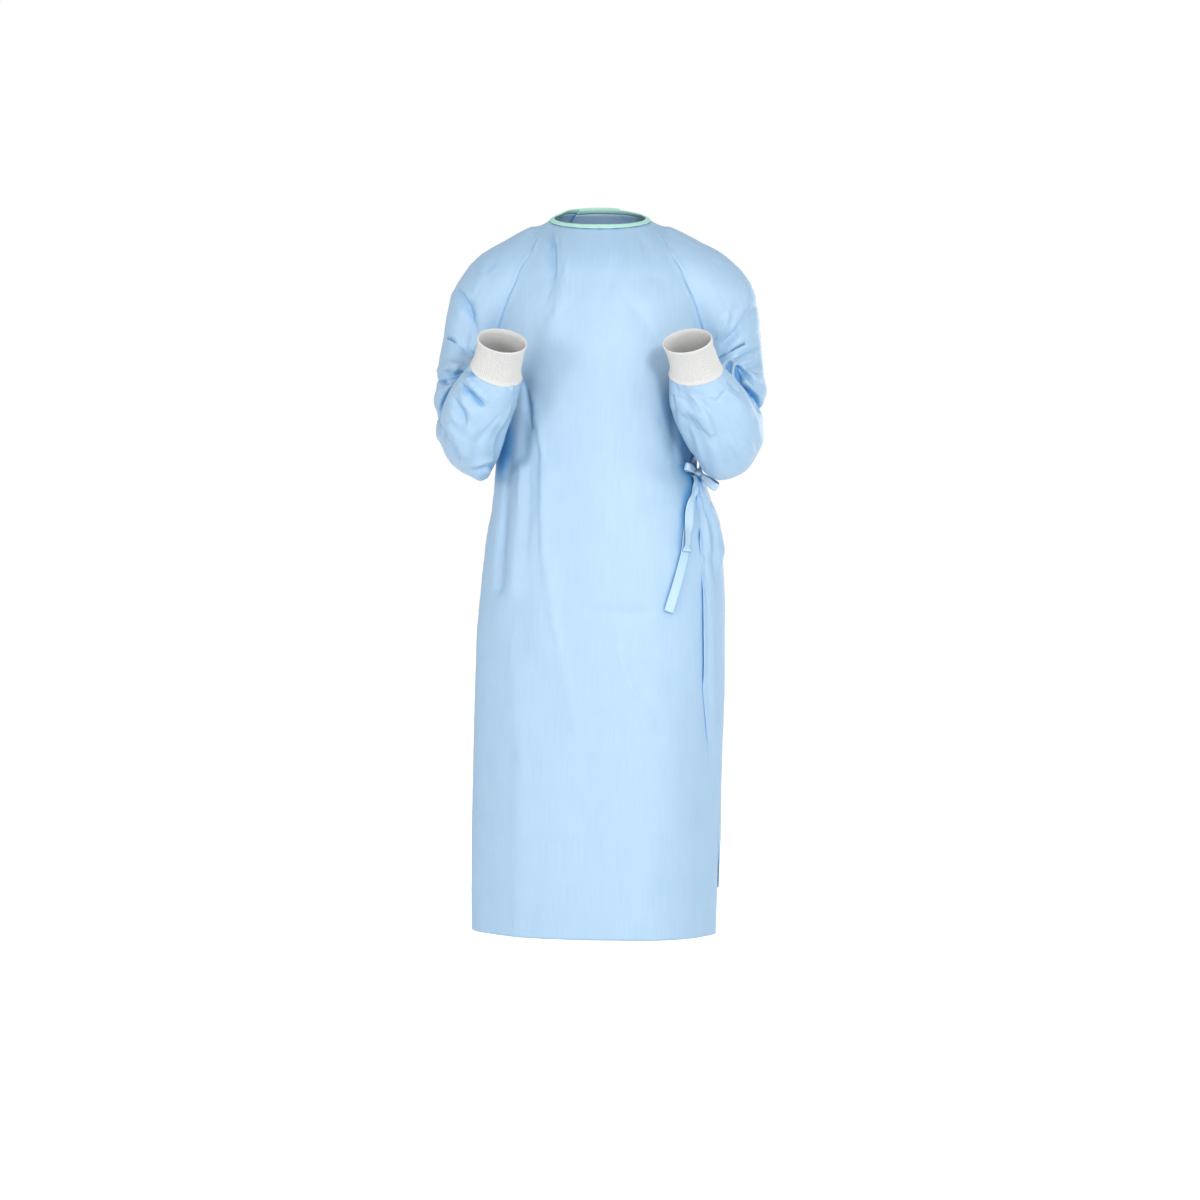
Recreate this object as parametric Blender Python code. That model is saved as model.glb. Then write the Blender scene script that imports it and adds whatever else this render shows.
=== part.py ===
"""Wraparound surgical gown in its worn form, hollow, with the forearms raised in front of the chest.

Frame: metres, +Z up, the front faces -Y and +X is the wearer's left. The origin is the middle of the neck
opening, level with the neck's side points, where the wearer's shoulders carry the gown.
Angles go round the body in degrees: 0 front, 90 wearer's left side, 180 back, -90 (or 270) right side.
A drop is the distance below the origin. Every panel is cut from one body form, and every sleeve is a
loft of rings, so that pieces share their seams.
"""
import math

import bpy
import bmesh
import numpy as np

# ---------------------------------------------------------------- driving dimensions
GOWN_LENGTH = 1.200
WALL = 0.0015
SEAM_GAP = 0.0003
LAYER = 0.0042            # how far the wrap's outer face stands off the body form
GIRTH_RADIUS = 0.165      # turns an angle into a distance for the folds
UNDERARM_DROP = 0.245
NECK_RISE = 0.019         # the neck's front lies this far below its side points, its back as far above
NECK_FADE = 0.10          # the drop at which the shoulders no longer follow the neck's slope
HEM_DIP = 0.008           # how much lower the hem hangs at the wearer's left than at the right
DIP_FROM = 0.85           # the drop at which the hem's dip begins

BINDING_WALL = 0.0026
BINDING_HEIGHT = 0.0085
BINDING_MIDDLE = 0.0040   # the height at which the band bulges
BINDING_BULGE = 0.0009
BINDING_STAND = 0.0005    # how far the band's outer face stands off the neck edge
CUFF_LENGTH = 0.062
CUFF_WALL = 0.0020
CUFF_RIBS = 30
RIB_HEIGHT = 0.0007
TAB_WALL = 0.0012
TAB_REACH = (20.0, -17.0)  # the closing tab's ends, in degrees on either side of the wrap's edge
TAB_STEP = (9.0, 7.5)     # it steps down from this far past the edge, over this many degrees
TAB_TOP = 0.006
TAB_BOTTOM = 0.031
TIE_WIDTH = 0.016
TIE_WALL = 0.0012
TIE_CAMBER = 0.10         # how far a tie bows across its width, as a share of that width

# ---------------------------------------------------------------- mesh density
FRONT_COLUMNS = 22
WRAP_COLUMNS = 28
WRAP_CROWDING = 1.4       # crowds the wrap's columns towards its gathered edge
UNDER_COLUMNS = 13
SLEEVE_COLUMNS = 20
CUFF_PARTS = (0.3, 0.65, 1.0)
BINDING_STATIONS = 64
SHARP_ANGLE = math.radians(50)
TAB_COLUMNS = 14
TAB_ROWS = 3
LOOP_STATIONS = 18
TAIL_STATIONS = 14
RAGLAN_DROPS = (0.0, 0.012, 0.030, 0.055, 0.085, 0.120, 0.155, 0.190, 0.218, 0.237, UNDERARM_DROP)
SKIRT_DROPS = (0.285, 0.330, 0.370, 0.405, 0.430, 0.455, 0.485, 0.520, 0.560, 0.615, 0.680, 0.760, 0.850,
               0.940, 1.030, 1.110, 1.160, GOWN_LENGTH)
BODY_DROPS = RAGLAN_DROPS + SKIRT_DROPS


def table(columns, rows):
    """A table by column name, each column an array with a value for each row."""
    return dict(zip(columns.split(), np.array(rows, dtype=float).T))


# The body form's level sections: half widths to each side, depths to the front and back, squareness.
BODY = table("drop right left front back square", [
    (0.000, 0.085, 0.085, 0.070, 0.068, 2.00),
    (0.030, 0.128, 0.130, 0.088, 0.086, 2.00),
    (0.060, 0.158, 0.160, 0.101, 0.098, 2.05),
    (0.100, 0.180, 0.182, 0.114, 0.108, 2.10),
    (0.150, 0.188, 0.190, 0.126, 0.116, 2.15),
    (0.200, 0.186, 0.188, 0.132, 0.120, 2.15),
    (0.245, 0.181, 0.182, 0.133, 0.121, 2.15),
    (0.320, 0.174, 0.171, 0.130, 0.119, 2.15),
    (0.380, 0.174, 0.164, 0.127, 0.116, 2.15),
    (0.415, 0.176, 0.161, 0.125, 0.115, 2.15),
    (0.449, 0.179, 0.174, 0.125, 0.117, 2.15),
    (0.490, 0.184, 0.188, 0.127, 0.120, 2.15),
    (0.520, 0.190, 0.198, 0.129, 0.123, 2.15),
    (0.574, 0.197, 0.205, 0.132, 0.128, 2.20),
    (0.643, 0.204, 0.208, 0.135, 0.133, 2.20),
    (0.780, 0.209, 0.208, 0.140, 0.140, 2.20),
    (0.910, 0.2125, 0.204, 0.145, 0.146, 2.20),
    (1.050, 0.216, 0.201, 0.149, 0.150, 2.20),
    (1.200, 0.216, 0.198, 0.152, 0.153, 2.20),
])

# The raglan seams on the body form, from the neck's corners to the underarm.
RAGLAN = table("drop front_angle back_angle", [
    (0.000, 75, 117),
    (0.030, 57, 132),
    (0.060, 48, 136),
    (0.100, 49, 133),
    (0.150, 56, 125),
    (0.200, 68, 113),
    (0.235, 81, 99),
    (0.245, 90, 90),
])

# The free edge of the outer wrap, from the back neck round the wearer's left hip.
WRAP_EDGE = table("drop angle", [
    (0.000, 156),
    (0.100, 159),
    (0.200, 144),
    (0.290, 112),
    (0.350, 90),
    (0.400, 74),
    (0.430, 67),
    (0.490, 60),
    (0.550, 54),
    (0.780, 55),
    (0.980, 67),
    (1.130, 84),
    (1.200, 91),
])
WRAP_STEP_FROM = 243.0    # between these two angles the wrap rises over the under panel
WRAP_STEP_TO = 217.0
HEM_LIFT = 0.075          # how much shorter the wrap hangs at its free corner
LIFT_FROM = 0.55          # the drop below which its hem runs up to that corner
LIFT_POWER = 1.6
CORNER_FLARE = 0.003      # how far that corner stands off further
FLARE_FROM = 1.0
UNDER_EDGE = 208.0        # the free edge of the under panel, past the middle of the back
UNDER_SINK = 0.0030       # how far the under panel lies inside the body form where it is covered
SINK_SHARE = 0.2          # it sinks over this share of its width
SINK_FROM = 0.01          # and between these two drops
SINK_TO = 0.06

# Shoulder caps: each row's top point (x for each arm) and how far its arc sweeps to either seam.
CAP = table("drop right_x left_x top_y top_z sweep", [
    (0.000, 0.0845, 0.0845, 0.007, 0.002, 55),
    (0.030, 0.122, 0.123, 0.003, -0.012, 65),
    (0.060, 0.159, 0.163, 0.004, -0.032, 78),
    (0.100, 0.202, 0.209, 0.005, -0.057, 92),
    (0.150, 0.231, 0.241, 0.006, -0.087, 108),
    (0.200, 0.250, 0.261, 0.006, -0.121, 130),
    (0.235, 0.260, 0.269, 0.005, -0.160, 162),
    (0.245, 0.265, 0.272, 0.003, -0.197, 180),
])

# Sleeve rings below the underarm. angle is where the ring's back points: 0 back, 90 down, 133 down and
# forward, so the rows from 27 to 133 turn round the crook of the elbow. half_deep is measured that way.
ARM = table("along y z angle half_deep right_x right_wide right_tilt left_x left_wide left_tilt", [
    (0.025, -0.004, -0.2450, 8, 0.0620, 0.2275, 0.0470, 16, 0.2295, 0.0470, 16),
    (0.055, -0.010, -0.2750, 18, 0.0650, 0.2305, 0.0460, 6, 0.2325, 0.0460, 6),
    (0.103, -0.0163, -0.3225, 27, 0.0660, 0.2310, 0.0455, 0, 0.2320, 0.0450, 0),
    (0.128, -0.0274, -0.3446, 45, 0.0700, 0.2290, 0.0475, 0, 0.2295, 0.0475, 0),
    (0.152, -0.0450, -0.3613, 62, 0.0725, 0.2260, 0.0500, 0, 0.2245, 0.0510, 0),
    (0.177, -0.0681, -0.3690, 79, 0.0715, 0.2215, 0.0520, 0, 0.2185, 0.0555, 0),
    (0.201, -0.0923, -0.3675, 96, 0.0700, 0.2170, 0.0530, 0, 0.2095, 0.0605, 0),
    (0.221, -0.1096, -0.3585, 110, 0.0650, 0.2125, 0.0550, 2, 0.2025, 0.0645, 0),
    (0.237, -0.1211, -0.3474, 122, 0.0600, 0.2095, 0.0565, 3, 0.1970, 0.0670, 1),
    (0.251, -0.1283, -0.3355, 133, 0.0550, 0.2055, 0.0580, 5, 0.1910, 0.0680, 2),
    (0.278, -0.1460, -0.3140, 133, 0.0500, 0.1965, 0.0575, 9, 0.1820, 0.0660, 4),
    (0.307, -0.1630, -0.2900, 133, 0.0430, 0.1845, 0.0515, 14, 0.1705, 0.0570, 6),
    (0.331, -0.1770, -0.2710, 133, 0.0350, 0.1740, 0.0455, 18, 0.1610, 0.0475, 8),
    (0.342, -0.1830, -0.2620, 133, 0.0310, 0.1700, 0.0435, 20, 0.1570, 0.0435, 8),
])

CAP_TURN_FROM = 0.19      # below this drop the arc's depth goes over to the underarm's half depth
UNDERARM_HALF_DEEP = 0.060
LEAST_SINE = 0.3
NECK_BLEND = 0.028        # above this drop the shoulder cap goes over to the neck edge

# How far the cloth's lowest line sags in towards the body under the elbow, and how flat its outer side is
# drawn there (1 is a round ring, above 1 a flatter one).
ELBOW_SAG = table("along right_sag right_flat left_sag left_flat", [
    (0.090, 0.000, 1.00, 0.000, 1.00),
    (0.152, 0.021, 1.24, 0.009, 1.12),
    (0.190, 0.023, 1.26, 0.010, 1.14),
    (0.221, 0.014, 1.20, 0.007, 1.10),
    (0.251, 0.000, 1.00, 0.000, 1.00),
])

# Cuffs: part is the share of the cuff's length above its seam; the rest as in ARM.
CUFF = table("part half_deep half_wide right_x right_tilt left_x left_tilt", [
    (0.00, 0.0310, 0.0435, 0.1700, 20, 0.1570, 8),
    (0.30, 0.0280, 0.0400, 0.1670, 17, 0.1535, 9),
    (0.65, 0.0265, 0.0385, 0.1630, 14, 0.1480, 10),
    (1.00, 0.0280, 0.0410, 0.1590, 11, 0.1420, 11),
])
CUFF_RISE = (0.0, -0.66, 0.75)

# Soft folds of the body form: a straight run from one place to another, its half width and its height
# (negative for a trough).
FOLDS = table("angle0 drop0 angle1 drop1 width height", [
    (-60, 0.42, -57, 0.62, 0.014, -0.0040),
    (-46, 0.42, -44, 0.62, 0.016, 0.0045),
    (-30, 0.44, -24, 0.72, 0.024, 0.0040),
    (-43, 0.28, -46, 0.40, 0.014, -0.0050),
    (43, 0.27, 48, 0.38, 0.014, -0.0040),
    (-36, 0.035, -25, 0.10, 0.012, -0.0030),
    (34, 0.035, 28, 0.10, 0.014, -0.0020),
    (-2, 0.664, 18, 0.664, 0.012, -0.0016),
    (-78, 0.70, -74, 1.20, 0.040, 0.0050),
    (-112, 0.50, -108, 1.20, 0.034, -0.0080),
    (-132, 0.35, -136, 1.20, 0.034, 0.0080),
    (-158, 0.30, -160, 1.20, 0.030, -0.0070),
    (180, 0.25, 176, 1.20, 0.034, 0.0070),
    (156, 0.30, 152, 1.20, 0.030, -0.0070),
    (132, 0.40, 128, 1.20, 0.034, 0.0080),
    (110, 0.60, 106, 1.20, 0.030, -0.0060),
    (60, 0.80, 64, 1.20, 0.036, -0.0040),
    (30, 0.85, 28, 1.20, 0.044, 0.0040),
    (-30, 0.90, -34, 1.20, 0.044, 0.0030),
])

# Gathers that fan out of the knot, on the wrap alone.
GATHERS = table("angle0 drop0 angle1 drop1 width height", [
    (66, 0.445, 61, 0.560, 0.009, 0.0045),
    (68, 0.445, 72, 0.580, 0.009, 0.0060),
    (71, 0.445, 85, 0.560, 0.010, 0.0050),
    (74, 0.440, 99, 0.540, 0.011, 0.0045),
    (77, 0.425, 112, 0.480, 0.011, 0.0040),
    (72, 0.395, 92, 0.365, 0.010, 0.0035),
])

# Soft folds of the sleeves: along is the distance below the underarm ring, turn goes round the sleeve
# (-0.5 front of the upper arm and crook, 0 outside, 0.5 back, 1 body side).
SLEEVE_FOLDS = {
    -1: table("along0 turn0 along1 turn1 width height", [
        (0.070, -0.50, 0.045, -0.10, 0.011, -0.0050),
        (0.095, -0.45, 0.085, 0.05, 0.012, 0.0050),
        (0.125, -0.35, 0.130, 0.20, 0.012, -0.0050),
        (0.165, 0.10, 0.240, 0.05, 0.013, -0.0045),
        (0.200, 0.45, 0.290, 0.40, 0.013, 0.0050),
        (0.190, 0.70, 0.270, 0.85, 0.013, -0.0045),
        (0.000, 0.30, 0.080, 0.55, 0.016, -0.0050),
        (0.020, -0.60, 0.060, -0.75, 0.014, 0.0040),
    ]),
    1: table("along0 turn0 along1 turn1 width height", [
        (0.060, -0.50, 0.035, -0.20, 0.010, -0.0050),
        (0.085, -0.48, 0.070, 0.00, 0.012, 0.0050),
        (0.115, -0.38, 0.115, 0.15, 0.012, -0.0055),
        (0.180, 0.15, 0.250, 0.10, 0.013, -0.0045),
        (0.210, 0.50, 0.290, 0.55, 0.013, 0.0050),
        (0.200, 0.80, 0.280, 0.70, 0.013, -0.0045),
        (0.005, 0.35, 0.080, 0.50, 0.016, -0.0050),
        (0.015, -0.65, 0.060, -0.80, 0.014, 0.0040),
    ]),
}
SLEEVE_TURN = 0.175       # half the sleeve's girth, which turns its turn into a distance
FOLD_REACH = 0.5          # on the shoulder cap the folds begin to fade at this turn
FOLD_FADE = 0.4
FOLD_ENDS = 0.03          # and within this distance of the sleeve's two end rings

# The tied bow lies on the wrap at the wearer's left hip.
KNOT_ANGLE = 66.5
KNOT_DROP = 0.432
KNOT_SIZE = (0.0085, 0.0080, 0.0070)

# Loops: the way each leaves the knot, the way across its band, and its length, height and width.
LOOPS = table("axis_x axis_y axis_z across_x across_y across_z length height width", [
    (0.76, -0.34, -0.62, 0.42, -0.35, 0.84, 0.034, 0.011, 0.0145),
    (-0.62, -0.72, 0.30, 0.25, 0.15, 0.95, 0.024, 0.012, 0.0130),
])
LOOP_PINCH = 0.62         # a loop's width at the knot, as a share of its width
LOOP_SPREAD = 1.6         # how soon a loop reaches its full width
LOOP_BULGE = (0.45, 0.75)  # how far its two sides stand apart at the knot, and how much more at its end

# Tails: places on the gown's front, with how high the tie stands off there and which way it faces.
TAIL_SHORT = table("angle drop height", [
    (63.7, 0.4370, 0.0110),
    (57.0, 0.460, 0.0112),
    (49.5, 0.485, 0.0105),
    (45.5, 0.515, 0.0090),
    (43.0, 0.545, 0.0085),
    (42.0, 0.560, 0.0085),
])
TAIL_LONG = table("angle drop height", [
    (63.8, 0.4366, 0.0092),
    (58.5, 0.460, 0.0072),
    (51.0, 0.490, 0.0052),
    (45.0, 0.525, 0.0042),
    (41.5, 0.560, 0.0040),
    (37.0, 0.600, 0.0045),
    (32.5, 0.640, 0.0050),
    (30.5, 0.660, 0.0050),
])
BELT = table("angle drop height", [
    (69.9, 0.4290, 0.0076),
    (75.0, 0.4240, 0.0066),
    (80.0, 0.4190, 0.0058),
    (85.0, 0.4140, 0.0052),
    (89.0, 0.4110, 0.0046),
    (93.0, 0.4090, 0.0040),
])
TAIL_WIDTHS = (0.007, 0.0125, TIE_WIDTH, TIE_WIDTH, TIE_WIDTH)
BELT_START_WIDTH = 0.008

# Base colours (linear), roughness
SMS_BLUE = (0.50, 0.72, 0.90)
KNIT_WHITE = (0.88, 0.88, 0.87)
MINT = (0.52, 0.83, 0.68)


# ---------------------------------------------------------------- small helpers
def follow(key, data, column, key_column=None):
    """The column's value at a key, along a monotone cubic through the table's rows."""
    keys = data[key_column or next(iter(data))]
    values = data[column]
    key = min(max(key, keys[0]), keys[-1])
    i = int(min(max(np.searchsorted(keys, key, side="right") - 1, 0), len(keys) - 2))
    steps = np.diff(keys)
    slopes = np.diff(values) / steps

    def knot_slope(k):
        if k == 0 or k == len(keys) - 1:
            return slopes[min(k, len(slopes) - 1)]
        before, after = slopes[k - 1], slopes[k]
        return 0.0 if before * after <= 0 else 2 * before * after / (before + after)

    h = steps[i]
    t = (key - keys[i]) / h
    return ((1 + 2 * t) * (1 - t) ** 2 * values[i] + t * (1 - t) ** 2 * h * knot_slope(i)
            + t * t * (3 - 2 * t) * values[i + 1] + t * t * (t - 1) * h * knot_slope(i + 1))


def smooth(x):
    x = min(max(x, 0.0), 1.0)
    return x * x * (3 - 2 * x)


def unit(v):
    return v / max(np.linalg.norm(v), 1e-12)


def wrapped(angle):
    """The same angle between -180 and 180 degrees."""
    return (angle + 180.0) % 360.0 - 180.0


def to_run(p, a, b):
    """Distance from a point to the straight run from a to b."""
    along = np.dot(p - a, b - a) / np.dot(b - a, b - a)
    return np.linalg.norm(p - a - min(max(along, 0.0), 1.0) * (b - a))


# ---------------------------------------------------------------- the body form
def fold_height(angle, drop, folds=FOLDS):
    total = 0.0
    for a0, d0, a1, d1, width, height in zip(*folds.values()):
        middle = (a0 + a1) / 2
        place = np.array([math.radians(wrapped(angle - middle)) * GIRTH_RADIUS, drop])
        start = np.array([math.radians(a0 - middle) * GIRTH_RADIUS, d0])
        end = np.array([math.radians(a1 - middle) * GIRTH_RADIUS, d1])
        total += height * math.exp(-(to_run(place, start, end) / width) ** 2)
    return total


def form_point(angle, drop):
    """A point of the body form, with its folds; the neck rises towards the back."""
    a = math.radians(wrapped(angle))
    wide = follow(drop, BODY, "left" if a >= 0 else "right")
    deep = follow(drop, BODY, "front" if math.cos(a) >= 0 else "back")
    power = 2.0 / follow(drop, BODY, "square")
    x = wide * math.copysign(abs(math.sin(a)) ** power, math.sin(a))
    y = -deep * math.copysign(abs(math.cos(a)) ** power, math.cos(a))
    out = unit(np.array([x / wide ** 2, y / deep ** 2, 0.0]))
    neck_slope = NECK_RISE * (1 - smooth(drop / NECK_FADE)) * math.cos(a)
    hem_slope = HEM_DIP * smooth((drop - DIP_FROM) / (GOWN_LENGTH - DIP_FROM)) * (1 + math.sin(a)) / 2
    return np.array([x, y, -drop - neck_slope - hem_slope]) + out * fold_height(angle, drop)


def form_normal(angle, drop):
    """Outward unit normal of the body form."""
    da, dd = 1.5, 0.004
    low, high = max(drop - dd, 0.0), min(drop + dd, GOWN_LENGTH)
    around = form_point(angle + da, drop) - form_point(angle - da, drop)
    down = form_point(angle, high) - form_point(angle, low)
    return unit(np.cross(down, around))


def raglan_angles(drop):
    if drop >= UNDERARM_DROP:
        return 90.0, 90.0
    return follow(drop, RAGLAN, "front_angle"), follow(drop, RAGLAN, "back_angle")


# ---------------------------------------------------------------- sleeves
def ring_axes(angle, tilt, side):
    """A ring's outward and backward axes: tilt lifts its outer side, angle swings its back downwards."""
    a, t = math.radians(angle), math.radians(tilt)
    back = np.array([0.0, math.cos(a), -math.sin(a)])
    rise = np.array([0.0, math.sin(a), math.cos(a)])
    outward = np.array([side * math.cos(t), 0.0, 0.0]) + rise * math.sin(t) * (1 if angle < 90 else -1)
    return outward, back


def cap_ring(side, drop):
    """Centre, axes, half sizes and sweep of a shoulder cap's arc, with its two seam points."""
    front_angle, back_angle = raglan_angles(drop)
    front = form_point(side * front_angle, drop)
    back = form_point(side * back_angle, drop)
    column = "left_x" if side > 0 else "right_x"
    top = np.array([side * follow(drop, CAP, column), follow(drop, CAP, "top_y"),
                    follow(drop, CAP, "top_z")])
    sweep = math.radians(follow(drop, CAP, "sweep"))
    middle = (front + back) / 2
    reach = np.linalg.norm(top - middle)
    outward = (top - middle) / reach
    wide = reach / (1 - math.cos(sweep))
    half_seam = np.linalg.norm(back - front) / 2
    late = smooth((drop - CAP_TURN_FROM) / (UNDERARM_DROP - CAP_TURN_FROM))
    deep = (1 - late) * half_seam / max(math.sin(sweep), LEAST_SINE) + late * UNDERARM_HALF_DEEP
    return top - outward * wide, outward, np.array([0.0, 1.0, 0.0]), wide, deep, sweep, front, back


def arm_ring(side, along):
    """Centre, axes and half sizes of a ring below the underarm; the first follows the cap's last ring."""
    if along <= ARM["along"][0]:
        share = smooth(along / ARM["along"][0])
        c0, out0, back0, wide0, deep0 = cap_ring(side, UNDERARM_DROP)[:5]
        c1, out1, back1, wide1, deep1 = arm_ring(side, ARM["along"][0] + 1e-9)
        mix = [(1 - share) * a + share * b for a, b in ((c0, c1), (out0, out1), (back0, back1))]
        wide, deep = wide0 + share * (wide1 - wide0), deep0 + share * (deep1 - deep0)
        return mix[0], unit(mix[1]), unit(mix[2]), wide, deep
    name = "left" if side > 0 else "right"
    centre = np.array([side * follow(along, ARM, name + "_x"), follow(along, ARM, "y"),
                       follow(along, ARM, "z")])
    outward, back = ring_axes(follow(along, ARM, "angle"), follow(along, ARM, name + "_tilt"), side)
    return centre, outward, back, follow(along, ARM, name + "_wide"), follow(along, ARM, "half_deep")


def sleeve_fold(side, along, turn):
    total = 0.0
    for a0, t0, a1, t1, width, height in zip(*SLEEVE_FOLDS[side].values()):
        for lap in (-2, 0, 2):
            place = np.array([along, (turn + lap) * SLEEVE_TURN])
            start, end = np.array([a0, t0 * SLEEVE_TURN]), np.array([a1, t1 * SLEEVE_TURN])
            total += height * math.exp(-(to_run(place, start, end) / width) ** 2)
    return total


def cap_point(side, drop, turn):
    """A point of the shoulder cap; turn runs from the front seam (-1) over the top (0) to the back (1)."""
    centre, outward, backward, wide, deep, sweep, front, back = cap_ring(side, drop)

    def arc(t):
        return centre + outward * wide * math.cos(sweep * t) + backward * deep * math.sin(sweep * t)

    front_share, back_share = smooth(-turn), smooth(turn)
    point = arc(turn) + front_share * (front - arc(-1.0)) + back_share * (back - arc(1.0))
    front_angle, back_angle = raglan_angles(drop)
    neck = form_point(side * (front_angle + (turn + 1) / 2 * (back_angle - front_angle)), drop)
    point += (1 - smooth(drop / NECK_BLEND)) * (neck - point)
    fade = 1 - smooth((abs(turn) - FOLD_REACH) / FOLD_FADE)
    return point + unit(point - centre) * sleeve_fold(side, drop - UNDERARM_DROP, turn) * fade


def arm_point(side, along, turn):
    """A point of the sleeve below the underarm."""
    centre, outward, backward, wide, deep = arm_ring(side, along)
    if along <= 0:
        return cap_point(side, UNDERARM_DROP, turn)
    name = "left" if side > 0 else "right"
    across, behind = math.cos(math.pi * turn), math.sin(math.pi * turn)
    sag = 0.0
    if behind > 0:
        flat = follow(along, ELBOW_SAG, name + "_flat") if across > 0 else 1.0
        across, behind = math.copysign(abs(across) ** flat, across), behind ** flat
        sag = follow(along, ELBOW_SAG, name + "_sag") * (1 - abs(across))
    point = centre + outward * (wide * across - sag) + backward * deep * behind
    ends = smooth(along / FOLD_ENDS) * smooth((ARM["along"][-1] - along) / FOLD_ENDS)
    return point + unit(point - centre) * sleeve_fold(side, along, turn) * ends


def cuff_point(side, part, turn, ridge=0.0):
    """A point of the cuff's plain surface, or of a rib that stands ridge above it."""
    name = "left" if side > 0 else "right"
    last = {key: value[-1] for key, value in ARM.items()}
    base = np.array([0.0, last["y"], last["z"]]) + unit(np.array(CUFF_RISE)) * CUFF_LENGTH * part
    centre = base + np.array([side * follow(part, CUFF, name + "_x"), 0.0, 0.0])
    outward, backward = ring_axes(last["angle"], follow(part, CUFF, name + "_tilt"), side)
    phi = math.pi * turn
    spoke = (outward * follow(part, CUFF, "half_wide") * math.cos(phi)
             + backward * follow(part, CUFF, "half_deep") * math.sin(phi))
    return centre + spoke + unit(spoke) * ridge


# ---------------------------------------------------------------- meshes
def grid_normals(grid, loop_columns=False):
    """Unit normals of a grid of points, outward when columns run anticlockwise seen from above."""
    down = np.gradient(grid, axis=0)
    if loop_columns:
        ring = grid[:, :-1]
        across = np.roll(ring, -1, axis=1) - np.roll(ring, 1, axis=1)
        across = np.concatenate([across, across[:, :1]], axis=1)
    else:
        across = np.gradient(grid, axis=1)
    normals = np.cross(down, across)
    return normals / np.maximum(np.linalg.norm(normals, axis=2, keepdims=True), 1e-12)


def add_wall(name, outer, inner, material, joined_rows=()):
    """One closed wall between two grids of points. In joined_rows the first and last columns are one.

    Both faces of the wall, and both sides of a seam, are split along the same diagonals.
    """
    rows, columns = outer.shape[:2]
    number = np.arange(rows * columns).reshape(rows, columns)
    for row in joined_rows:
        number[row, -1] = number[row, 0]
    sheet = bmesh.new()
    both = [[sheet.verts.new(p) for p in layer.reshape(-1, 3)] for layer in (outer, inner)]
    rim = {}
    for r in range(rows - 1):
        for c in range(columns - 1):
            high, high_next = number[r, c], number[r, c + 1]
            low, low_next = number[r + 1, c], number[r + 1, c + 1]
            for corners in ((high, low, low_next), (high, low_next, high_next)):
                sheet.faces.new([both[0][k] for k in corners])
                sheet.faces.new([both[1][k] for k in reversed(corners)])
                for a, b in zip(corners, corners[1:] + corners[:1]):
                    if (b, a) in rim:
                        del rim[(b, a)]
                    else:
                        rim[(a, b)] = True
    for a, b in rim:
        first, last = min(a, b), max(a, b)
        sheet.faces.new([both[0][first], both[0][last], both[1][last]])
        sheet.faces.new([both[0][first], both[1][last], both[1][first]])
    loose = [v for v in sheet.verts if not v.link_faces]
    bmesh.ops.delete(sheet, geom=loose, context="VERTS")
    bmesh.ops.recalc_face_normals(sheet, faces=sheet.faces[:])
    return add_mesh(name, sheet, material)


def add_mesh(name, sheet, material):
    """A smooth-shaded piece from a bmesh, with its sharp edges kept."""
    mesh = bpy.data.meshes.new(name)
    sheet.to_mesh(mesh)
    sheet.free()
    mesh.shade_smooth()
    mesh.set_sharp_from_angle(angle=SHARP_ANGLE)
    mesh.materials.append(material)
    piece = bpy.data.objects.new(name, mesh)
    GOWN.objects.link(piece)
    return piece


def add_material(name, colour, roughness):
    material = bpy.data.materials.new(name)
    material.use_nodes = True
    shader = material.node_tree.nodes["Principled BSDF"]
    shader.inputs["Base Color"].default_value = (*colour, 1.0)
    shader.inputs["Roughness"].default_value = roughness
    shader.inputs["Metallic"].default_value = 0.0
    return material


# ---------------------------------------------------------------- seams
class Seam:
    """A seam's points with the direction both walls are thickened along and the way into the body panel."""

    def __init__(self, points, body_normals, other_normals, into):
        self.points = np.array(points)
        tangents = np.gradient(self.points, axis=0)
        self.normals, self.inward, self.depths = [], [], []
        for tangent, body, other, guide in zip(tangents, body_normals, other_normals, into):
            normal = unit(body + other) if np.linalg.norm(body + other) > 0.15 else np.array([0, 0, -1.0])
            side = unit(np.cross(normal, tangent))
            self.normals.append(normal)
            self.inward.append(side if np.dot(side, guide) > 0 else -side)
            self.depths.append(WALL / max(np.dot(normal, body), 0.6))
        self.normals, self.inward = np.array(self.normals), np.array(self.inward)
        self.depths = np.array(self.depths)[:, None]

    def edge(self, direction, rows=slice(None)):
        """The wall's outer and inner edge on one side of the seam: 1 the body panel's, -1 the other's."""
        outer = self.points[rows] + direction * self.inward[rows] * SEAM_GAP / 2
        return outer, outer - self.normals[rows] * self.depths[rows]


def sleeve_grid(side):
    turns = np.linspace(-1, 1, SLEEVE_COLUMNS + 1)
    cap = [[cap_point(side, drop, t) for t in turns] for drop in RAGLAN_DROPS]
    arm = [[arm_point(side, along, t) for t in turns] for along in ARM["along"]]
    return np.array(cap + arm)


def sleeve_normals(side, grid):
    """Normals by the grid's own neighbours: open in the cap, closed round below the underarm."""
    first = len(RAGLAN_DROPS) - 1
    normals = grid_normals(grid)
    closed = grid_normals(grid, loop_columns=True)
    normals[first + 1:] = closed[first + 1:]
    seam = unit(closed[first, 0])
    normals[first, 0] = normals[first, -1] = seam
    return normals * side


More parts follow.
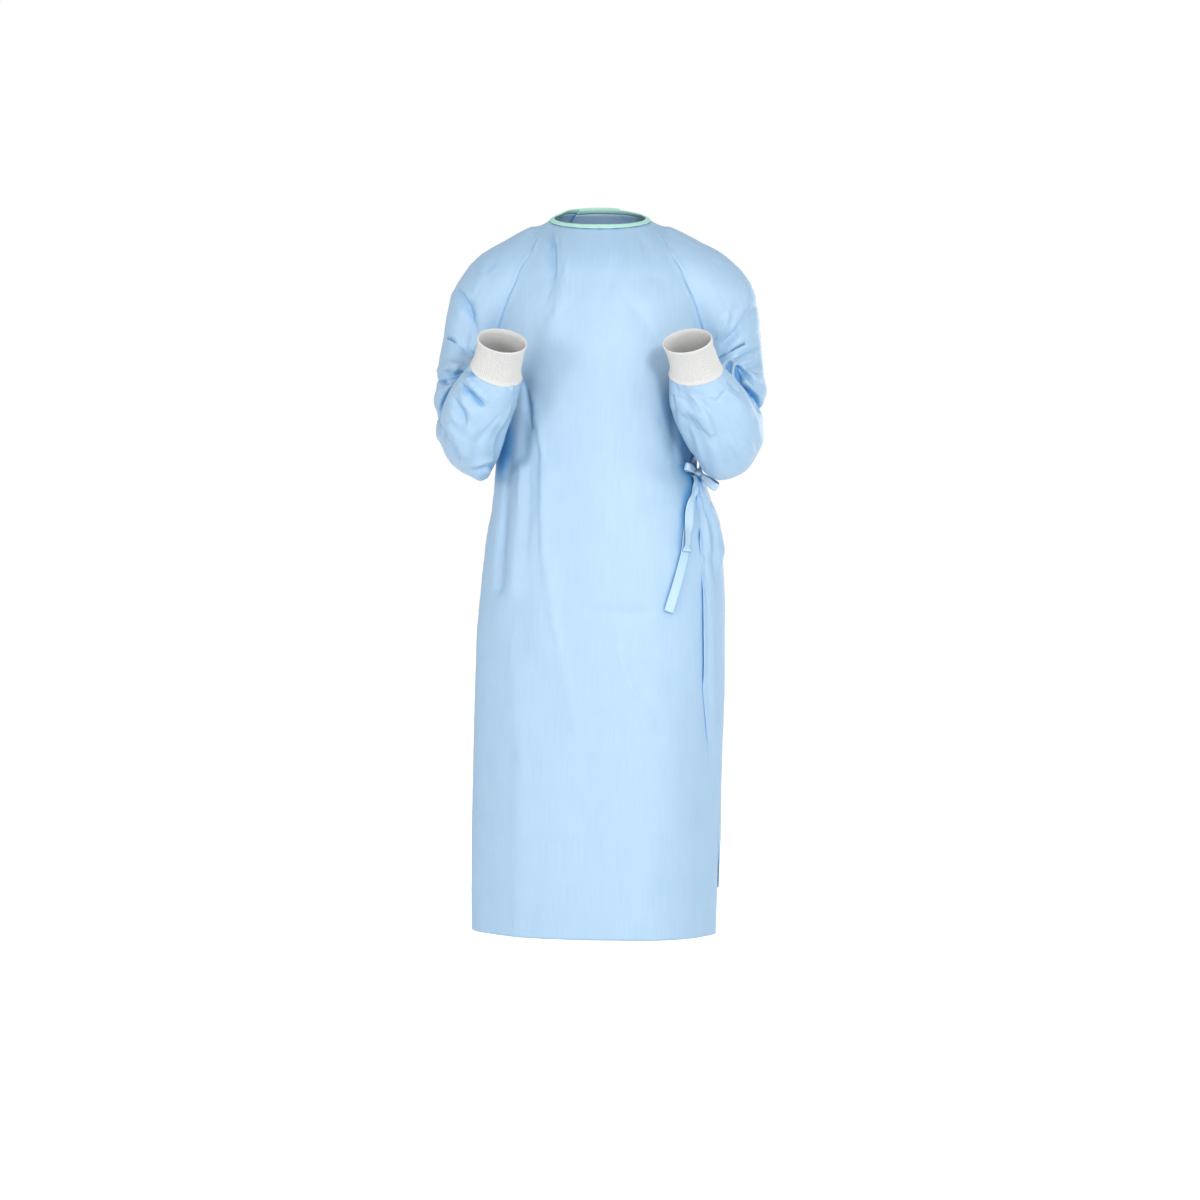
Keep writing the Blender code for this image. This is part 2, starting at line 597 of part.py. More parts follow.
def raglan_seam(side, which, grid, normals):
    """The seam between a sleeve and the front (which 0) or back (which 1) panel, neck to underarm."""
    column = 0 if which == 0 else -1
    rows = range(len(RAGLAN_DROPS))
    angles = [side * raglan_angles(drop)[which] for drop in RAGLAN_DROPS]
    points = [form_point(angle, drop) for angle, drop in zip(angles, RAGLAN_DROPS)]
    body = [form_normal(angle, drop) for angle, drop in zip(angles, RAGLAN_DROPS)]
    step = 4.0 if which == 0 else -4.0
    into = [form_point(angle - side * step, drop) - form_point(angle, drop)
            for angle, drop in zip(angles, RAGLAN_DROPS)]
    return Seam(points, body, [normals[r, column] for r in rows], into)


def side_seam(side):
    """The seam between front and back panels from the underarm to the hem."""
    angle = side * 90.0
    drops = (UNDERARM_DROP,) + SKIRT_DROPS
    normals = [form_normal(angle, drop) for drop in drops]
    into = [form_point(angle - side * 4.0, drop) - form_point(angle, drop) for drop in drops]
    return Seam([form_point(angle, drop) for drop in drops], normals, normals, into)


def panel_edge(raglan, side, direction):
    """A body panel's whole edge, down its raglan seam and then its side seam."""
    upper, upper_inner = raglan.edge(1)
    lower, lower_inner = side.edge(direction, slice(1, None))
    clear = direction * side.inward[0] * SEAM_GAP
    upper[-1] += clear
    upper_inner[-1] += clear
    return np.concatenate([upper, lower]), np.concatenate([upper_inner, lower_inner])


# ---------------------------------------------------------------- the pieces
def add_front(seams, material):
    turns = np.linspace(-1, 1, FRONT_COLUMNS + 1)
    outer = np.array([[form_point(turn * raglan_angles(drop)[0], drop) for turn in turns]
                      for drop in BODY_DROPS])
    inner = outer - WALL * grid_normals(outer)
    for column, side in ((0, -1), (-1, 1)):
        outer[:, column], inner[:, column] = panel_edge(seams[side]["front"], seams[side]["side"], 1)
    return add_wall("front_panel", outer, inner, material)


def wrap_height(angle):
    return LAYER * (1 - smooth((angle - WRAP_STEP_TO) / (WRAP_STEP_FROM - WRAP_STEP_TO)))


def wrap_place(share, drop):
    """Angle and drop of a point of the wrap, whose share runs from its free edge (0) to its seam (1)."""
    seam = 360.0 - raglan_angles(drop)[1]
    edge = follow(drop, WRAP_EDGE, "angle")
    lift = HEM_LIFT * (1 - share) ** LIFT_POWER * smooth((drop - LIFT_FROM) / (GOWN_LENGTH - LIFT_FROM))
    return edge + share * (seam - edge), drop - lift


def wrap_point(share, drop, depth=0.0):
    angle, low = wrap_place(share, drop)
    flare = CORNER_FLARE * (1 - share) ** 3 * smooth((drop - FLARE_FROM) / (GOWN_LENGTH - FLARE_FROM))
    height = wrap_height(angle) + fold_height(angle, low, GATHERS) + flare - depth
    return form_point(angle, low) + form_normal(angle, low) * height


def add_wrap(seams, material):
    shares = np.linspace(0, 1, WRAP_COLUMNS + 1) ** WRAP_CROWDING
    outer = np.array([[wrap_point(s, drop) for s in shares] for drop in BODY_DROPS])
    inner = np.array([[wrap_point(s, drop, WALL) for s in shares] for drop in BODY_DROPS])
    outer[:, -1], inner[:, -1] = panel_edge(seams[-1]["back"], seams[-1]["side"], -1)
    return add_wall("back_wrap", outer, inner, material)


def under_point(share, drop, depth=0.0):
    """A point of the under panel, from its sewn edge (0) to its free edge (1)."""
    seam = raglan_angles(drop)[1]
    angle = seam + share * (UNDER_EDGE - seam)
    depth += UNDER_SINK * smooth(share / SINK_SHARE) * smooth((drop - SINK_FROM) / (SINK_TO - SINK_FROM))
    return form_point(angle, drop) - form_normal(angle, drop) * depth


def add_under(seams, material):
    shares = np.linspace(0, 1, UNDER_COLUMNS + 1)
    outer = np.array([[under_point(s, drop) for s in shares] for drop in BODY_DROPS])
    inner = np.array([[under_point(s, drop, WALL) for s in shares] for drop in BODY_DROPS])
    outer[:, 0], inner[:, 0] = panel_edge(seams[1]["back"], seams[1]["side"], -1)
    return add_wall("back_under", outer, inner, material)


def add_sleeve(name, side, grid, normals, seams, material):
    inner = grid - WALL * normals
    outer = grid.copy()
    cap_rows = len(RAGLAN_DROPS)
    for column, key in ((0, "front"), (-1, "back")):
        edge = seams[side][key].edge(-1)
        outer[:cap_rows, column], inner[:cap_rows, column] = edge
    return add_wall(name, outer, inner, material, joined_rows=range(cap_rows - 1, len(grid)))


def add_cuff(name, side, material):
    """A ribbed outer face over a plain inner one."""
    turns = np.linspace(-1, 1, 2 * CUFF_RIBS + 1)
    parts = (SEAM_GAP / CUFF_LENGTH,) + CUFF_PARTS
    outer = np.array([[cuff_point(side, p, t, RIB_HEIGHT * (k % 2)) for k, t in enumerate(turns)]
                      for p in parts])
    inner = np.array([[cuff_point(side, p, t, -CUFF_WALL) for t in turns] for p in parts])
    return add_wall(name, outer, inner, material, joined_rows=range(len(parts)))


def neck_frame(angle, height):
    """The neck edge's point, its outward normal and the way up it at an angle, stood off by height."""
    here, below = form_point(angle, 0.0), form_point(angle, RAGLAN_DROPS[1])
    normal = form_normal(angle, 0.0)
    return here + normal * height, normal, unit(here - below)


def add_binding(material):
    """A band on the neck edge, from the under panel's free edge round the front to the wrap's free edge."""
    first, last = UNDER_EDGE, follow(0.0, WRAP_EDGE, "angle") - 360.0
    face, back = BINDING_STAND, BINDING_STAND - BINDING_WALL
    profile = [(face, SEAM_GAP), (BINDING_BULGE, BINDING_MIDDLE), (face, BINDING_HEIGHT),
               (back, BINDING_HEIGHT), (back, BINDING_MIDDLE), (back, SEAM_GAP)]
    rings = []
    for k in range(BINDING_STATIONS + 1):
        angle = first + (last - first) * k / BINDING_STATIONS
        height = wrap_height(angle + 360.0) if angle < -90 else 0.0
        point, normal, up = neck_frame(angle, height)
        rings.append([point + normal * out + up * rise for out, rise in profile])
    return add_tube("neck_binding", rings, material)


def add_tube(name, rings, material):
    """A solid lofted through closed rings of equal count, with flat ends."""
    sheet = bmesh.new()
    loops = [[sheet.verts.new(p) for p in ring] for ring in rings]
    count = len(loops[0])
    for a, b in zip(loops, loops[1:]):
        for k in range(count):
            sheet.faces.new([a[k], a[(k + 1) % count], b[(k + 1) % count], b[k]])
    sheet.faces.new(list(reversed(loops[0])))
    sheet.faces.new(loops[-1])
    bmesh.ops.recalc_face_normals(sheet, faces=sheet.faces[:])
    return add_mesh(name, sheet, material)


def add_tab(material):
    """The closing tab on the back of the neck: it lies on the wrap and steps down on to the under panel."""
    edge = follow(0.0, WRAP_EDGE, "angle")
    angles = np.linspace(edge + TAB_REACH[0], edge + TAB_REACH[1], TAB_COLUMNS + 1)
    drops = np.linspace(TAB_TOP, TAB_BOTTOM, TAB_ROWS + 1)

    def layer(stand):
        step, width = TAB_STEP
        return np.array([[on_gown(angle, drop, LAYER * smooth((angle - edge + step) / width) + stand)
                          for angle in angles] for drop in drops])

    return add_wall("neck_tab", layer(SEAM_GAP + TAB_WALL), layer(SEAM_GAP), material)


# ---------------------------------------------------------------- the tied bow
def on_gown(angle, drop, height):
    return form_point(angle, drop) + form_normal(angle, drop) * height


def on_wrap(angle, drop, height):
    return on_gown(angle, drop, height + LAYER + fold_height(angle, drop, GATHERS))


def ribbon(name, centres, across, widths, material, closed=False):
    """A flat tie along a line of centres, each with the way across it and its width there."""
    centres = np.array(centres)
    if closed:
        along = np.roll(centres, -1, axis=0) - np.roll(centres, 1, axis=0)
    else:
        along = np.gradient(centres, axis=0)
    rings = []
    for centre, direction, side, width in zip(centres, along, across, widths):
        side = unit(side - direction * np.dot(side, direction) / np.dot(direction, direction))
        face = unit(np.cross(direction, side))
        corners = ((-0.5, -0.5), (0.0, -0.5), (0.5, -0.5), (0.5, 0.5), (0.0, 0.5), (-0.5, 0.5))
        camber = TIE_CAMBER * width
        rings.append([centre + side * width * u + face * (TIE_WALL * v + (0.25 - u * u) * camber)
                      for u, v in corners])
    if closed:
        return add_hoop(name, rings, material)
    return add_tube(name, rings, material)


def add_hoop(name, rings, material):
    """A band lofted through closed rings and back to the first one."""
    sheet = bmesh.new()
    loops = [[sheet.verts.new(p) for p in ring] for ring in rings]
    count = len(loops[0])
    for a, b in zip(loops, loops[1:] + loops[:1]):
        for k in range(count):
            sheet.faces.new([a[k], a[(k + 1) % count], b[(k + 1) % count], b[k]])
    bmesh.ops.recalc_face_normals(sheet, faces=sheet.faces[:])
    return add_mesh(name, sheet, material)


def add_knot(centre, material):
    sheet = bmesh.new()
    bmesh.ops.create_uvsphere(sheet, u_segments=12, v_segments=8, radius=1.0)
    bmesh.ops.scale(sheet, vec=KNOT_SIZE, verts=sheet.verts[:])
    bmesh.ops.translate(sheet, vec=tuple(centre), verts=sheet.verts[:])
    return add_mesh("tie_knot", sheet, material)


def add_loop(name, knot, shape, material):
    """A bow loop: a closed band that leaves the knot along its axis and comes back."""
    axis = unit(np.array([shape["axis_x"], shape["axis_y"], shape["axis_z"]]))
    across = np.array([shape["across_x"], shape["across_y"], shape["across_z"]])
    across = unit(across - axis * np.dot(across, axis))
    face = np.cross(axis, across)
    knot_reach = 1 / np.linalg.norm(axis / np.array(KNOT_SIZE))
    start = knot + axis * (knot_reach + TIE_WALL / 2 + 2 * SEAM_GAP)
    centres, widths = [], []
    for k in range(LOOP_STATIONS):
        a = 2 * math.pi * k / LOOP_STATIONS
        out = (1 - math.cos(a)) / 2
        bulge = shape["height"] / 2 * math.sin(a) * (LOOP_BULGE[0] + LOOP_BULGE[1] * out)
        centres.append(start + axis * shape["length"] * out + face * bulge)
        widths.append(shape["width"] * (LOOP_PINCH + (1 - LOOP_PINCH) * smooth(LOOP_SPREAD * out)))
    return ribbon(name, centres, [across] * LOOP_STATIONS, widths, material, closed=True)


def add_tail(name, places, material):
    keys = np.linspace(0, 1, len(places["drop"]))
    path = dict(key=keys, **places)
    shares = np.linspace(0, 1, TAIL_STATIONS)
    centres, across = [], []
    for share in shares:
        angle, drop, height = (follow(share, path, column, "key") for column in ("angle", "drop", "height"))
        centres.append(on_gown(angle, drop, height))
        across.append(np.cross(form_normal(angle, drop), [0.0, 0.0, 1.0]))
    widths = np.interp(shares, np.linspace(0, 1, len(TAIL_WIDTHS)), TAIL_WIDTHS)
    return ribbon(name, centres, across, widths, material)


def add_bow(material):
    knot = on_wrap(KNOT_ANGLE, KNOT_DROP, KNOT_SIZE[0])
    add_knot(knot, material)
    for k, name in enumerate(("tie_loop_left", "tie_loop_right")):
        add_loop(name, knot, {column: values[k] for column, values in LOOPS.items()}, material)
    add_tail("tie_tail_short", TAIL_SHORT, material)
    add_tail("tie_tail_long", TAIL_LONG, material)
    centres = [on_wrap(*place) for place in zip(*BELT.values())]
    widths = np.linspace(BELT_START_WIDTH, TIE_WIDTH, len(centres))
    ribbon("tie_belt", centres, [np.array([0.0, 0.0, 1.0])] * len(centres), widths, material)


def build_gown():
    blue = add_material("sms_blue", SMS_BLUE, 0.75)
    white = add_material("knit_white", KNIT_WHITE, 0.90)
    mint = add_material("mint_binding", MINT, 0.80)
    seams, sleeves = {}, {}
    for side in (-1, 1):
        grid = sleeve_grid(side)
        normals = sleeve_normals(side, grid)
        sleeves[side] = (grid, normals)
        seams[side] = {
            "front": raglan_seam(side, 0, grid, normals),
            "back": raglan_seam(side, 1, grid, normals),
            "side": side_seam(side),
        }
    add_front(seams, blue)
    add_wrap(seams, blue)
    add_under(seams, blue)
    for side, name in ((-1, "right"), (1, "left")):
        add_sleeve("sleeve_" + name, side, *sleeves[side], seams, blue)
        add_cuff("cuff_" + name, side, white)
    add_binding(mint)
    add_tab(blue)
    add_bow(blue)


for old in list(bpy.data.objects):
    bpy.data.objects.remove(old)
GOWN = bpy.data.collections.new("surgical_gown")
bpy.context.scene.collection.children.link(GOWN)
build_gown()
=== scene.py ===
"""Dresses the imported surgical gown: thin nonwoven cloth with creases, knit cuffs, binding, seams and bow.

Frame: metres, +Z up, the front faces -Y and +X is the wearer's left. Angles go round the body in degrees,
0 front, 90 the wearer's left, 180 back. A drop is the distance below the neck. The body form and the
sleeve rings are those of the CAD source, sampled finer. Rows of folds and creases alone are in millimetres.
"""

import math

import bpy
import numpy as np
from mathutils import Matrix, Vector


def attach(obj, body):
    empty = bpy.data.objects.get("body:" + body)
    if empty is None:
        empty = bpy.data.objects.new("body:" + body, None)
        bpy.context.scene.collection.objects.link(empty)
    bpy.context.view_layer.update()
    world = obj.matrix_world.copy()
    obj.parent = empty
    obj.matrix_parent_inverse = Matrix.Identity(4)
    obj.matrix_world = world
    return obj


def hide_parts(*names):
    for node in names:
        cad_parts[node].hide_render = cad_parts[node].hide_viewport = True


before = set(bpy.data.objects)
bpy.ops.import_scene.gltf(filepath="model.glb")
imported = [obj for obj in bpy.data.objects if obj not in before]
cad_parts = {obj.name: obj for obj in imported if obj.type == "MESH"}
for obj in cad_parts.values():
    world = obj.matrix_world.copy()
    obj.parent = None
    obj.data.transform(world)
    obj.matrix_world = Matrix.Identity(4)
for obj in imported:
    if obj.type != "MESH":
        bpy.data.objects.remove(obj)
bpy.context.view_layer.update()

MM = 0.001
RIGHT, LEFT = -1, 1       # the wearer's sides, as signs of X
SIDE_NAMES = {RIGHT: "right", LEFT: "left"}

# ---------------------------------------------------------------- dimensions, as in the CAD source
GOWN_LENGTH = 1.200
LAYER = 0.0042            # how far the wrap stands off the cloth under it
GIRTH_RADIUS = 0.165
UNDERARM_DROP = 0.245
NECK_RISE = 0.019
NECK_FADE = 0.10
HEM_DIP = 0.008
DIP_FROM = 0.85
CUFF_LENGTH = 0.062
CUFF_WALL = 0.0020
WRAP_STEP_FROM = 243.0
WRAP_STEP_TO = 217.0
HEM_LIFT = 0.075
LIFT_FROM = 0.55
LIFT_POWER = 1.6
CORNER_FLARE = 0.003
FLARE_FROM = 1.0
UNDER_EDGE = 208.0
UNDER_SINK = 0.0030
UNDER_SINK_SHARE = 0.2    # of the panel's width, over which it sinks under the wrap
UNDER_SINK_FROM = 0.01
UNDER_SINK_FADE = 0.05
CAP_TURN_FROM = 0.19
UNDERARM_HALF_DEEP = 0.060
LEAST_SINE = 0.3
NECK_BLEND = 0.028
CUFF_RISE = np.array([0.0, -0.66, 0.75])
SLEEVE_TURN = 0.175       # length round a sleeve from its top (turn 0) to its seam (turns -1 and 1)
FOLD_REACH = 0.5
FOLD_FADE = 0.4
FOLD_ENDS = 0.03


def table(columns, rows):
    """A table by column name, each column an array with a value for each row."""
    return dict(zip(columns.split(), np.array(rows, dtype=float).T))


BODY = table("drop right left front back square", [
    (0, 0.085, 0.085, 0.07, 0.068, 2),
    (0.03, 0.128, 0.13, 0.088, 0.086, 2),
    (0.06, 0.158, 0.16, 0.101, 0.098, 2.05),
    (0.1, 0.18, 0.182, 0.114, 0.108, 2.1),
    (0.15, 0.188, 0.19, 0.126, 0.116, 2.15),
    (0.2, 0.186, 0.188, 0.132, 0.12, 2.15),
    (0.245, 0.181, 0.182, 0.133, 0.121, 2.15),
    (0.32, 0.174, 0.171, 0.13, 0.119, 2.15),
    (0.38, 0.174, 0.164, 0.127, 0.116, 2.15),
    (0.415, 0.176, 0.161, 0.125, 0.115, 2.15),
    (0.449, 0.179, 0.174, 0.125, 0.117, 2.15),
    (0.49, 0.184, 0.188, 0.127, 0.12, 2.15),
    (0.52, 0.19, 0.198, 0.129, 0.123, 2.15),
    (0.574, 0.197, 0.205, 0.132, 0.128, 2.2),
    (0.643, 0.204, 0.208, 0.135, 0.133, 2.2),
    (0.78, 0.209, 0.208, 0.14, 0.14, 2.2),
    (0.91, 0.2125, 0.204, 0.145, 0.146, 2.2),
    (1.05, 0.216, 0.201, 0.149, 0.15, 2.2),
    (1.2, 0.216, 0.198, 0.152, 0.153, 2.2),
])
RAGLAN = table("drop front_angle back_angle", [
    (0, 75, 117),
    (0.03, 57, 132),
    (0.06, 48, 136),
    (0.1, 49, 133),
    (0.15, 56, 125),
    (0.2, 68, 113),
    (0.235, 81, 99),
    (0.245, 90, 90),
])
WRAP_EDGE = table("drop angle", [
    (0, 156),
    (0.1, 159),
    (0.2, 144),
    (0.29, 112),
    (0.35, 90),
    (0.4, 74),
    (0.43, 67),
    (0.49, 60),
    (0.55, 54),
    (0.78, 55),
    (0.98, 67),
    (1.13, 84),
    (1.2, 91),
])
CAP = table("drop right_x left_x top_y top_z sweep", [
    (0, 0.0845, 0.0845, 0.007, 0.002, 55),
    (0.03, 0.122, 0.123, 0.003, -0.012, 65),
    (0.06, 0.159, 0.163, 0.004, -0.032, 78),
    (0.1, 0.202, 0.209, 0.005, -0.057, 92),
    (0.15, 0.231, 0.241, 0.006, -0.087, 108),
    (0.2, 0.25, 0.261, 0.006, -0.121, 130),
    (0.235, 0.26, 0.269, 0.005, -0.16, 162),
    (0.245, 0.265, 0.272, 0.003, -0.197, 180),
])
ARM = table("along y z angle half_deep right_x right_wide right_tilt left_x left_wide left_tilt", [
    (0.025, -0.004, -0.245, 8, 0.062, 0.2275, 0.047, 16, 0.2295, 0.047, 16),
    (0.055, -0.01, -0.275, 18, 0.065, 0.2305, 0.046, 6, 0.2325, 0.046, 6),
    (0.103, -0.0163, -0.3225, 27, 0.066, 0.231, 0.0455, 0, 0.232, 0.045, 0),
    (0.128, -0.0274, -0.3446, 45, 0.07, 0.229, 0.0475, 0, 0.2295, 0.0475, 0),
    (0.152, -0.045, -0.3613, 62, 0.0725, 0.226, 0.05, 0, 0.2245, 0.051, 0),
    (0.177, -0.0681, -0.369, 79, 0.0715, 0.2215, 0.052, 0, 0.2185, 0.0555, 0),
    (0.201, -0.0923, -0.3675, 96, 0.07, 0.217, 0.053, 0, 0.2095, 0.0605, 0),
    (0.221, -0.1096, -0.3585, 110, 0.065, 0.2125, 0.055, 2, 0.2025, 0.0645, 0),
    (0.237, -0.1211, -0.3474, 122, 0.06, 0.2095, 0.0565, 3, 0.197, 0.067, 1),
    (0.251, -0.1283, -0.3355, 133, 0.055, 0.2055, 0.058, 5, 0.191, 0.068, 2),
    (0.278, -0.146, -0.314, 133, 0.05, 0.1965, 0.0575, 9, 0.182, 0.066, 4),
    (0.307, -0.163, -0.29, 133, 0.043, 0.1845, 0.0515, 14, 0.1705, 0.057, 6),
    (0.331, -0.177, -0.271, 133, 0.035, 0.174, 0.0455, 18, 0.161, 0.0475, 8),
    (0.342, -0.183, -0.262, 133, 0.031, 0.17, 0.0435, 20, 0.157, 0.0435, 8),
])
ELBOW_SAG = table("along right_sag right_flat left_sag left_flat", [
    (0.09, 0, 1, 0, 1),
    (0.152, 0.021, 1.24, 0.009, 1.12),
    (0.19, 0.023, 1.26, 0.01, 1.14),
    (0.221, 0.014, 1.2, 0.007, 1.1),
    (0.251, 0, 1, 0, 1),
])
CUFF = table("part half_deep half_wide right_x right_tilt left_x left_tilt", [
    (0, 0.031, 0.0435, 0.17, 20, 0.157, 8),
    (0.3, 0.028, 0.04, 0.167, 17, 0.1535, 9),
    (0.65, 0.0265, 0.0385, 0.163, 14, 0.148, 10),
    (1, 0.028, 0.041, 0.159, 11, 0.142, 11),
])

# The form's soft folds, as in the CAD source: angle and drop at both ends of a run, half width, height.
FOLDS = [
    (-60, 420, -57, 620, 14, -4),
    (-46, 420, -44, 620, 16, 4.5),
    (-30, 440, -24, 720, 24, 4),
    (-43, 280, -46, 400, 14, -5),
    (43, 270, 48, 380, 14, -4),
    (-36, 35, -25, 100, 12, -3),
    (34, 35, 28, 100, 14, -2),
    (-2, 664, 18, 664, 12, -1.6),
    (-78, 700, -74, 1200, 40, 5),
    (-112, 500, -108, 1200, 34, -8),
    (-132, 350, -136, 1200, 34, 8),
    (-158, 300, -160, 1200, 30, -7),
    (180, 250, 176, 1200, 34, 7),
    (156, 300, 152, 1200, 30, -7),
    (132, 400, 128, 1200, 34, 8),
    (110, 600, 106, 1200, 30, -6),
    (60, 800, 64, 1200, 36, -4),
    (30, 850, 28, 1200, 44, 4),
    (-30, 900, -34, 1200, 44, 3),
]
GATHERS = [
    (66, 445, 61, 560, 9, 4.5),
    (68, 445, 72, 580, 9, 6),
    (71, 445, 85, 560, 10, 5),
    (74, 440, 99, 540, 11, 4.5),
    (77, 425, 112, 480, 11, 4),
    (72, 395, 92, 365, 10, 3.5),
]
# The same on the sleeves, with places by the distance below the underarm and round the sleeve from its top.
SLEEVE_FOLDS = {RIGHT: [
    (70, -87.5, 45, -17.5, 11, -5),
    (95, -78.75, 85, 8.75, 12, 5),
    (125, -61.25, 130, 35, 12, -5),
    (165, 17.5, 240, 8.75, 13, -4.5),
    (200, 78.75, 290, 70, 13, 5),
    (190, 122.5, 270, 148.75, 13, -4.5),
    (0, 52.5, 80, 96.25, 16, -5),
    (20, -105, 60, -131.25, 14, 4),
], LEFT: [
    (60, -87.5, 35, -35, 10, -5),
    (85, -84, 70, 0, 12, 5),
    (115, -66.5, 115, 26.25, 12, -5.5),
    (180, 26.25, 250, 17.5, 13, -4.5),
    (210, 87.5, 290, 96.25, 13, 5),
    (200, 140, 280, 122.5, 13, -4.5),
    (5, 61.25, 80, 87.5, 16, -5),
    (15, -113.75, 60, -140, 14, 4),
]}

# Creases, as seen from the front: x and z at both ends of a run on the plane y = 0, for an eye where the
# camera stands; the width and height of its middle; and, where they aren't 0, how sharp its crest is and how
# far it leans, above 0 towards the wearer's right where it runs down.
EYE = np.array([0.0, -5.5, -0.5])
FRONT_CREASES = [
    (-63, -17, -59, -92, 8.5, 2.3, 0.3, -0.4),
    (-63, -92, -75, -153, 11.4, 1.8, 0.2, -0.3),
    (-75, -153, -109, -221, 15.2, 1.6, 0.1, -0.3),
    (-87, -8, -78, -36, 5.7, -4.8, 0.3, 0.5),
    (-78, -36, -76, -90, 6.2, -4.8, 0.3, 0.5),
    (-76, -90, -92, -143, 7.6, -1.7, 0.2, 0.4),
    (-65, -14, -58, -78, 8, 0.8),
    (-102, -10, -114, -56, 5, 0.9, 0, 0.2),
    (-126, -24, -158, -51, 3.8, -1.4, 0.4),
    (-117, -20, -146, -58, 4.5, 0.8),
    (-126, -275, -117, -350, 4.7, -5.7, 0.5, 0.3),
    (-114, -299, -100, -391, 7.6, 3, 0.4, -0.4),
    (-100, -388, -100, -554, 8.5, 3.9, 0.6, -0.5),
    (-100, -554, -75, -711, 10.4, 3, 0.5, -0.4),
    (-75, -711, -41, -872, 13.3, 2.1, 0.3, -0.3),
    (-136, -408, -138, -483, 2.8, 1.5, 0.4),
    (-160, -428, -168, -626, 7.6, -3.4, 0.3, 0.1),
    (-121, -422, -124, -575, 6.6, -1.4, 0.1),
    (-150, -711, -139, -915, 20.9, 2.5, 0.1, -0.3),
    (-139, -915, -143, -1212, 20.9, 2.8, 0.1, -0.3),
    (32, -728, 54, -796, 9.5, 1.8, 0.5, 0.3),
    (54, -796, 95, -864, 10.4, 1.4, 0.3, 0.3),
    (7, -663, 78, -665, 2.6, -0.8, 0.6, 0.3),
    (0, -299, 0, -422, 2.4, -0.6, 0.6),
    (0, -422, 2, -575, 2.4, -0.5, 0.6),
    (150, -459, 85, -481, 8.5, -1.4, 0.1),
    (143, -481, 93, -524, 9, 0.9),
    (68, -14, 78, -68, 6, -1.1),
    (88, 0, 116, -41, 3.4, 0.9, 0.3),
    (-17, -22, -20, -68, 7, -0.6),
    (10, -20, 14, -82, 7, 0.5),
    (51, -133, 102, -209, 17.1, -1.8, 0.1, 0.2),
    (-68, -133, -117, -303, 20.9, 1.8, 0.1, -0.2),
    (93, -337, 122, -422, 19, 2.1, 0.1, 0.2),
    (-17, -915, -25, -1085, 24.7, -1.6, 0.1),
    (68, -983, 93, -1153, 24.7, 1.6, 0.1),
    (-76, -1085, -93, -1214, 22.8, 2.3, 0.1),
]
WRAP_CREASES = [
    (162, -439, 168, -507, 3.6, 3.6, 0.5),
    (168, -507, 177, -575, 4, 3.8, 0.4),
    (177, -575, 178, -779, 4.5, 3, 0.4),
    (167, -442, 178, -493, 3.4, 3.2, 0.4),
    (178, -493, 192, -561, 5, 2.6, 0.3),
    (172, -444, 189, -483, 3.4, 3.4, 0.4),
    (189, -483, 202, -541, 5, 2.6, 0.3),
    (165, -445, 173, -524, 2.8, -3.6, 0.4),
    (173, -524, 184, -643, 4.5, -3, 0.2),
    (170, -447, 185, -507, 2.8, -3.6, 0.4),
    (185, -507, 197, -609, 4.5, -2.8, 0.2),
    (177, -445, 197, -493, 2.8, -3.2, 0.4),
    (158, -445, 160, -524, 2.8, -3.2, 0.4),
    (160, -524, 168, -643, 3.6, -2.6, 0.2),
    (189, -643, 194, -881, 8, 2.6, 0.1),
    (197, -847, 202, -1085, 8, -1.2),
]
UPPER_ARM_CREASES = {RIGHT: [
    (-275, -270, -231, -258, 5, -11, 0.4, -0.3),
    (-272, -253, -235, -241, 7.2, 5.2, 0.2),
    (-272, -270, -257, -277, 2.7, -5.2, 0.6),
    (-274, -287, -246, -277, 6, 2.2, 0.2),
    (-233, -262, -253, -286, 5, -13, 0.4, -0.3),
    (-253, -286, -269, -308, 4.5, -13, 0.4, -0.3),
    (-269, -308, -275, -335, 4, -10, 0.4, -0.3),
    (-240, -250, -257, -269, 4.5, 5.2, 0.3),
    (-240, -116, -218, -158, 5.4, -6.8, 0.5, 0.2),
    (-218, -158, -207, -201, 6.3, -5.2, 0.2),
    (-252, -119, -235, -170, 8, 2, 0.1),
    (-214, -68, -206, -93, 3, -1.6, 0.4),
    (-221, -143, -228, -218, 12.6, -8, 0.1, 0.1),
    (-252, -163, -255, -238, 11, 2.2),
    (-194, -68, -214, -119, 8, 1.6),
    (-228, -68, -241, -105, 9, -1.4),
    (-262, -201, -269, -248, 7, -1.6, 0.1),
    (-170, -48, -190, -82, 7, -1.3),
    (-262, -294, -270, -306, 4, 2, 0.3),
], LEFT: [
    (207, -265, 221, -240, 4.5, -10.8, 0.4),
    (223, -267, 229, -241, 3.6, 4.8, 0.4),
    (233, -248, 240, -289, 4.5, -11.2, 0.5, 0.3),
    (233, -246, 260, -275, 2.9, -7.2, 0.7),
    (245, -252, 269, -275, 5.4, 5.2, 0.4),
    (245, -269, 267, -296, 5.4, 4, 0.2),
    (243, -282, 265, -301, 5, -13, 0.4),
    (265, -301, 279, -326, 4.5, -13, 0.4),
    (279, -326, 284, -354, 4, -9, 0.4),
    (206, -212, 233, -184, 7.2, -5.6, 0.2),
    (233, -184, 262, -146, 8.1, -5.6, 0.2),
    (199, -197, 219, -160, 7.2, 4.8, 0.2),
    (214, -224, 267, -177, 6.7, 4.8, 0.3),
    (229, -231, 269, -211, 4.5, -4.4, 0.4),
    (236, -241, 272, -231, 5, 1.6, 0.1),
    (255, -255, 274, -258, 3, -1.8, 0.4),
    (241, -133, 221, -170, 10, -1.6),
    (207, -68, 197, -105, 9, -1.4),
    (238, -85, 258, -133, 11, 1.6),
    (170, -37, 190, -68, 8, -1),
    (190, -218, 201, -241, 4.5, 4, 0.3),
]}
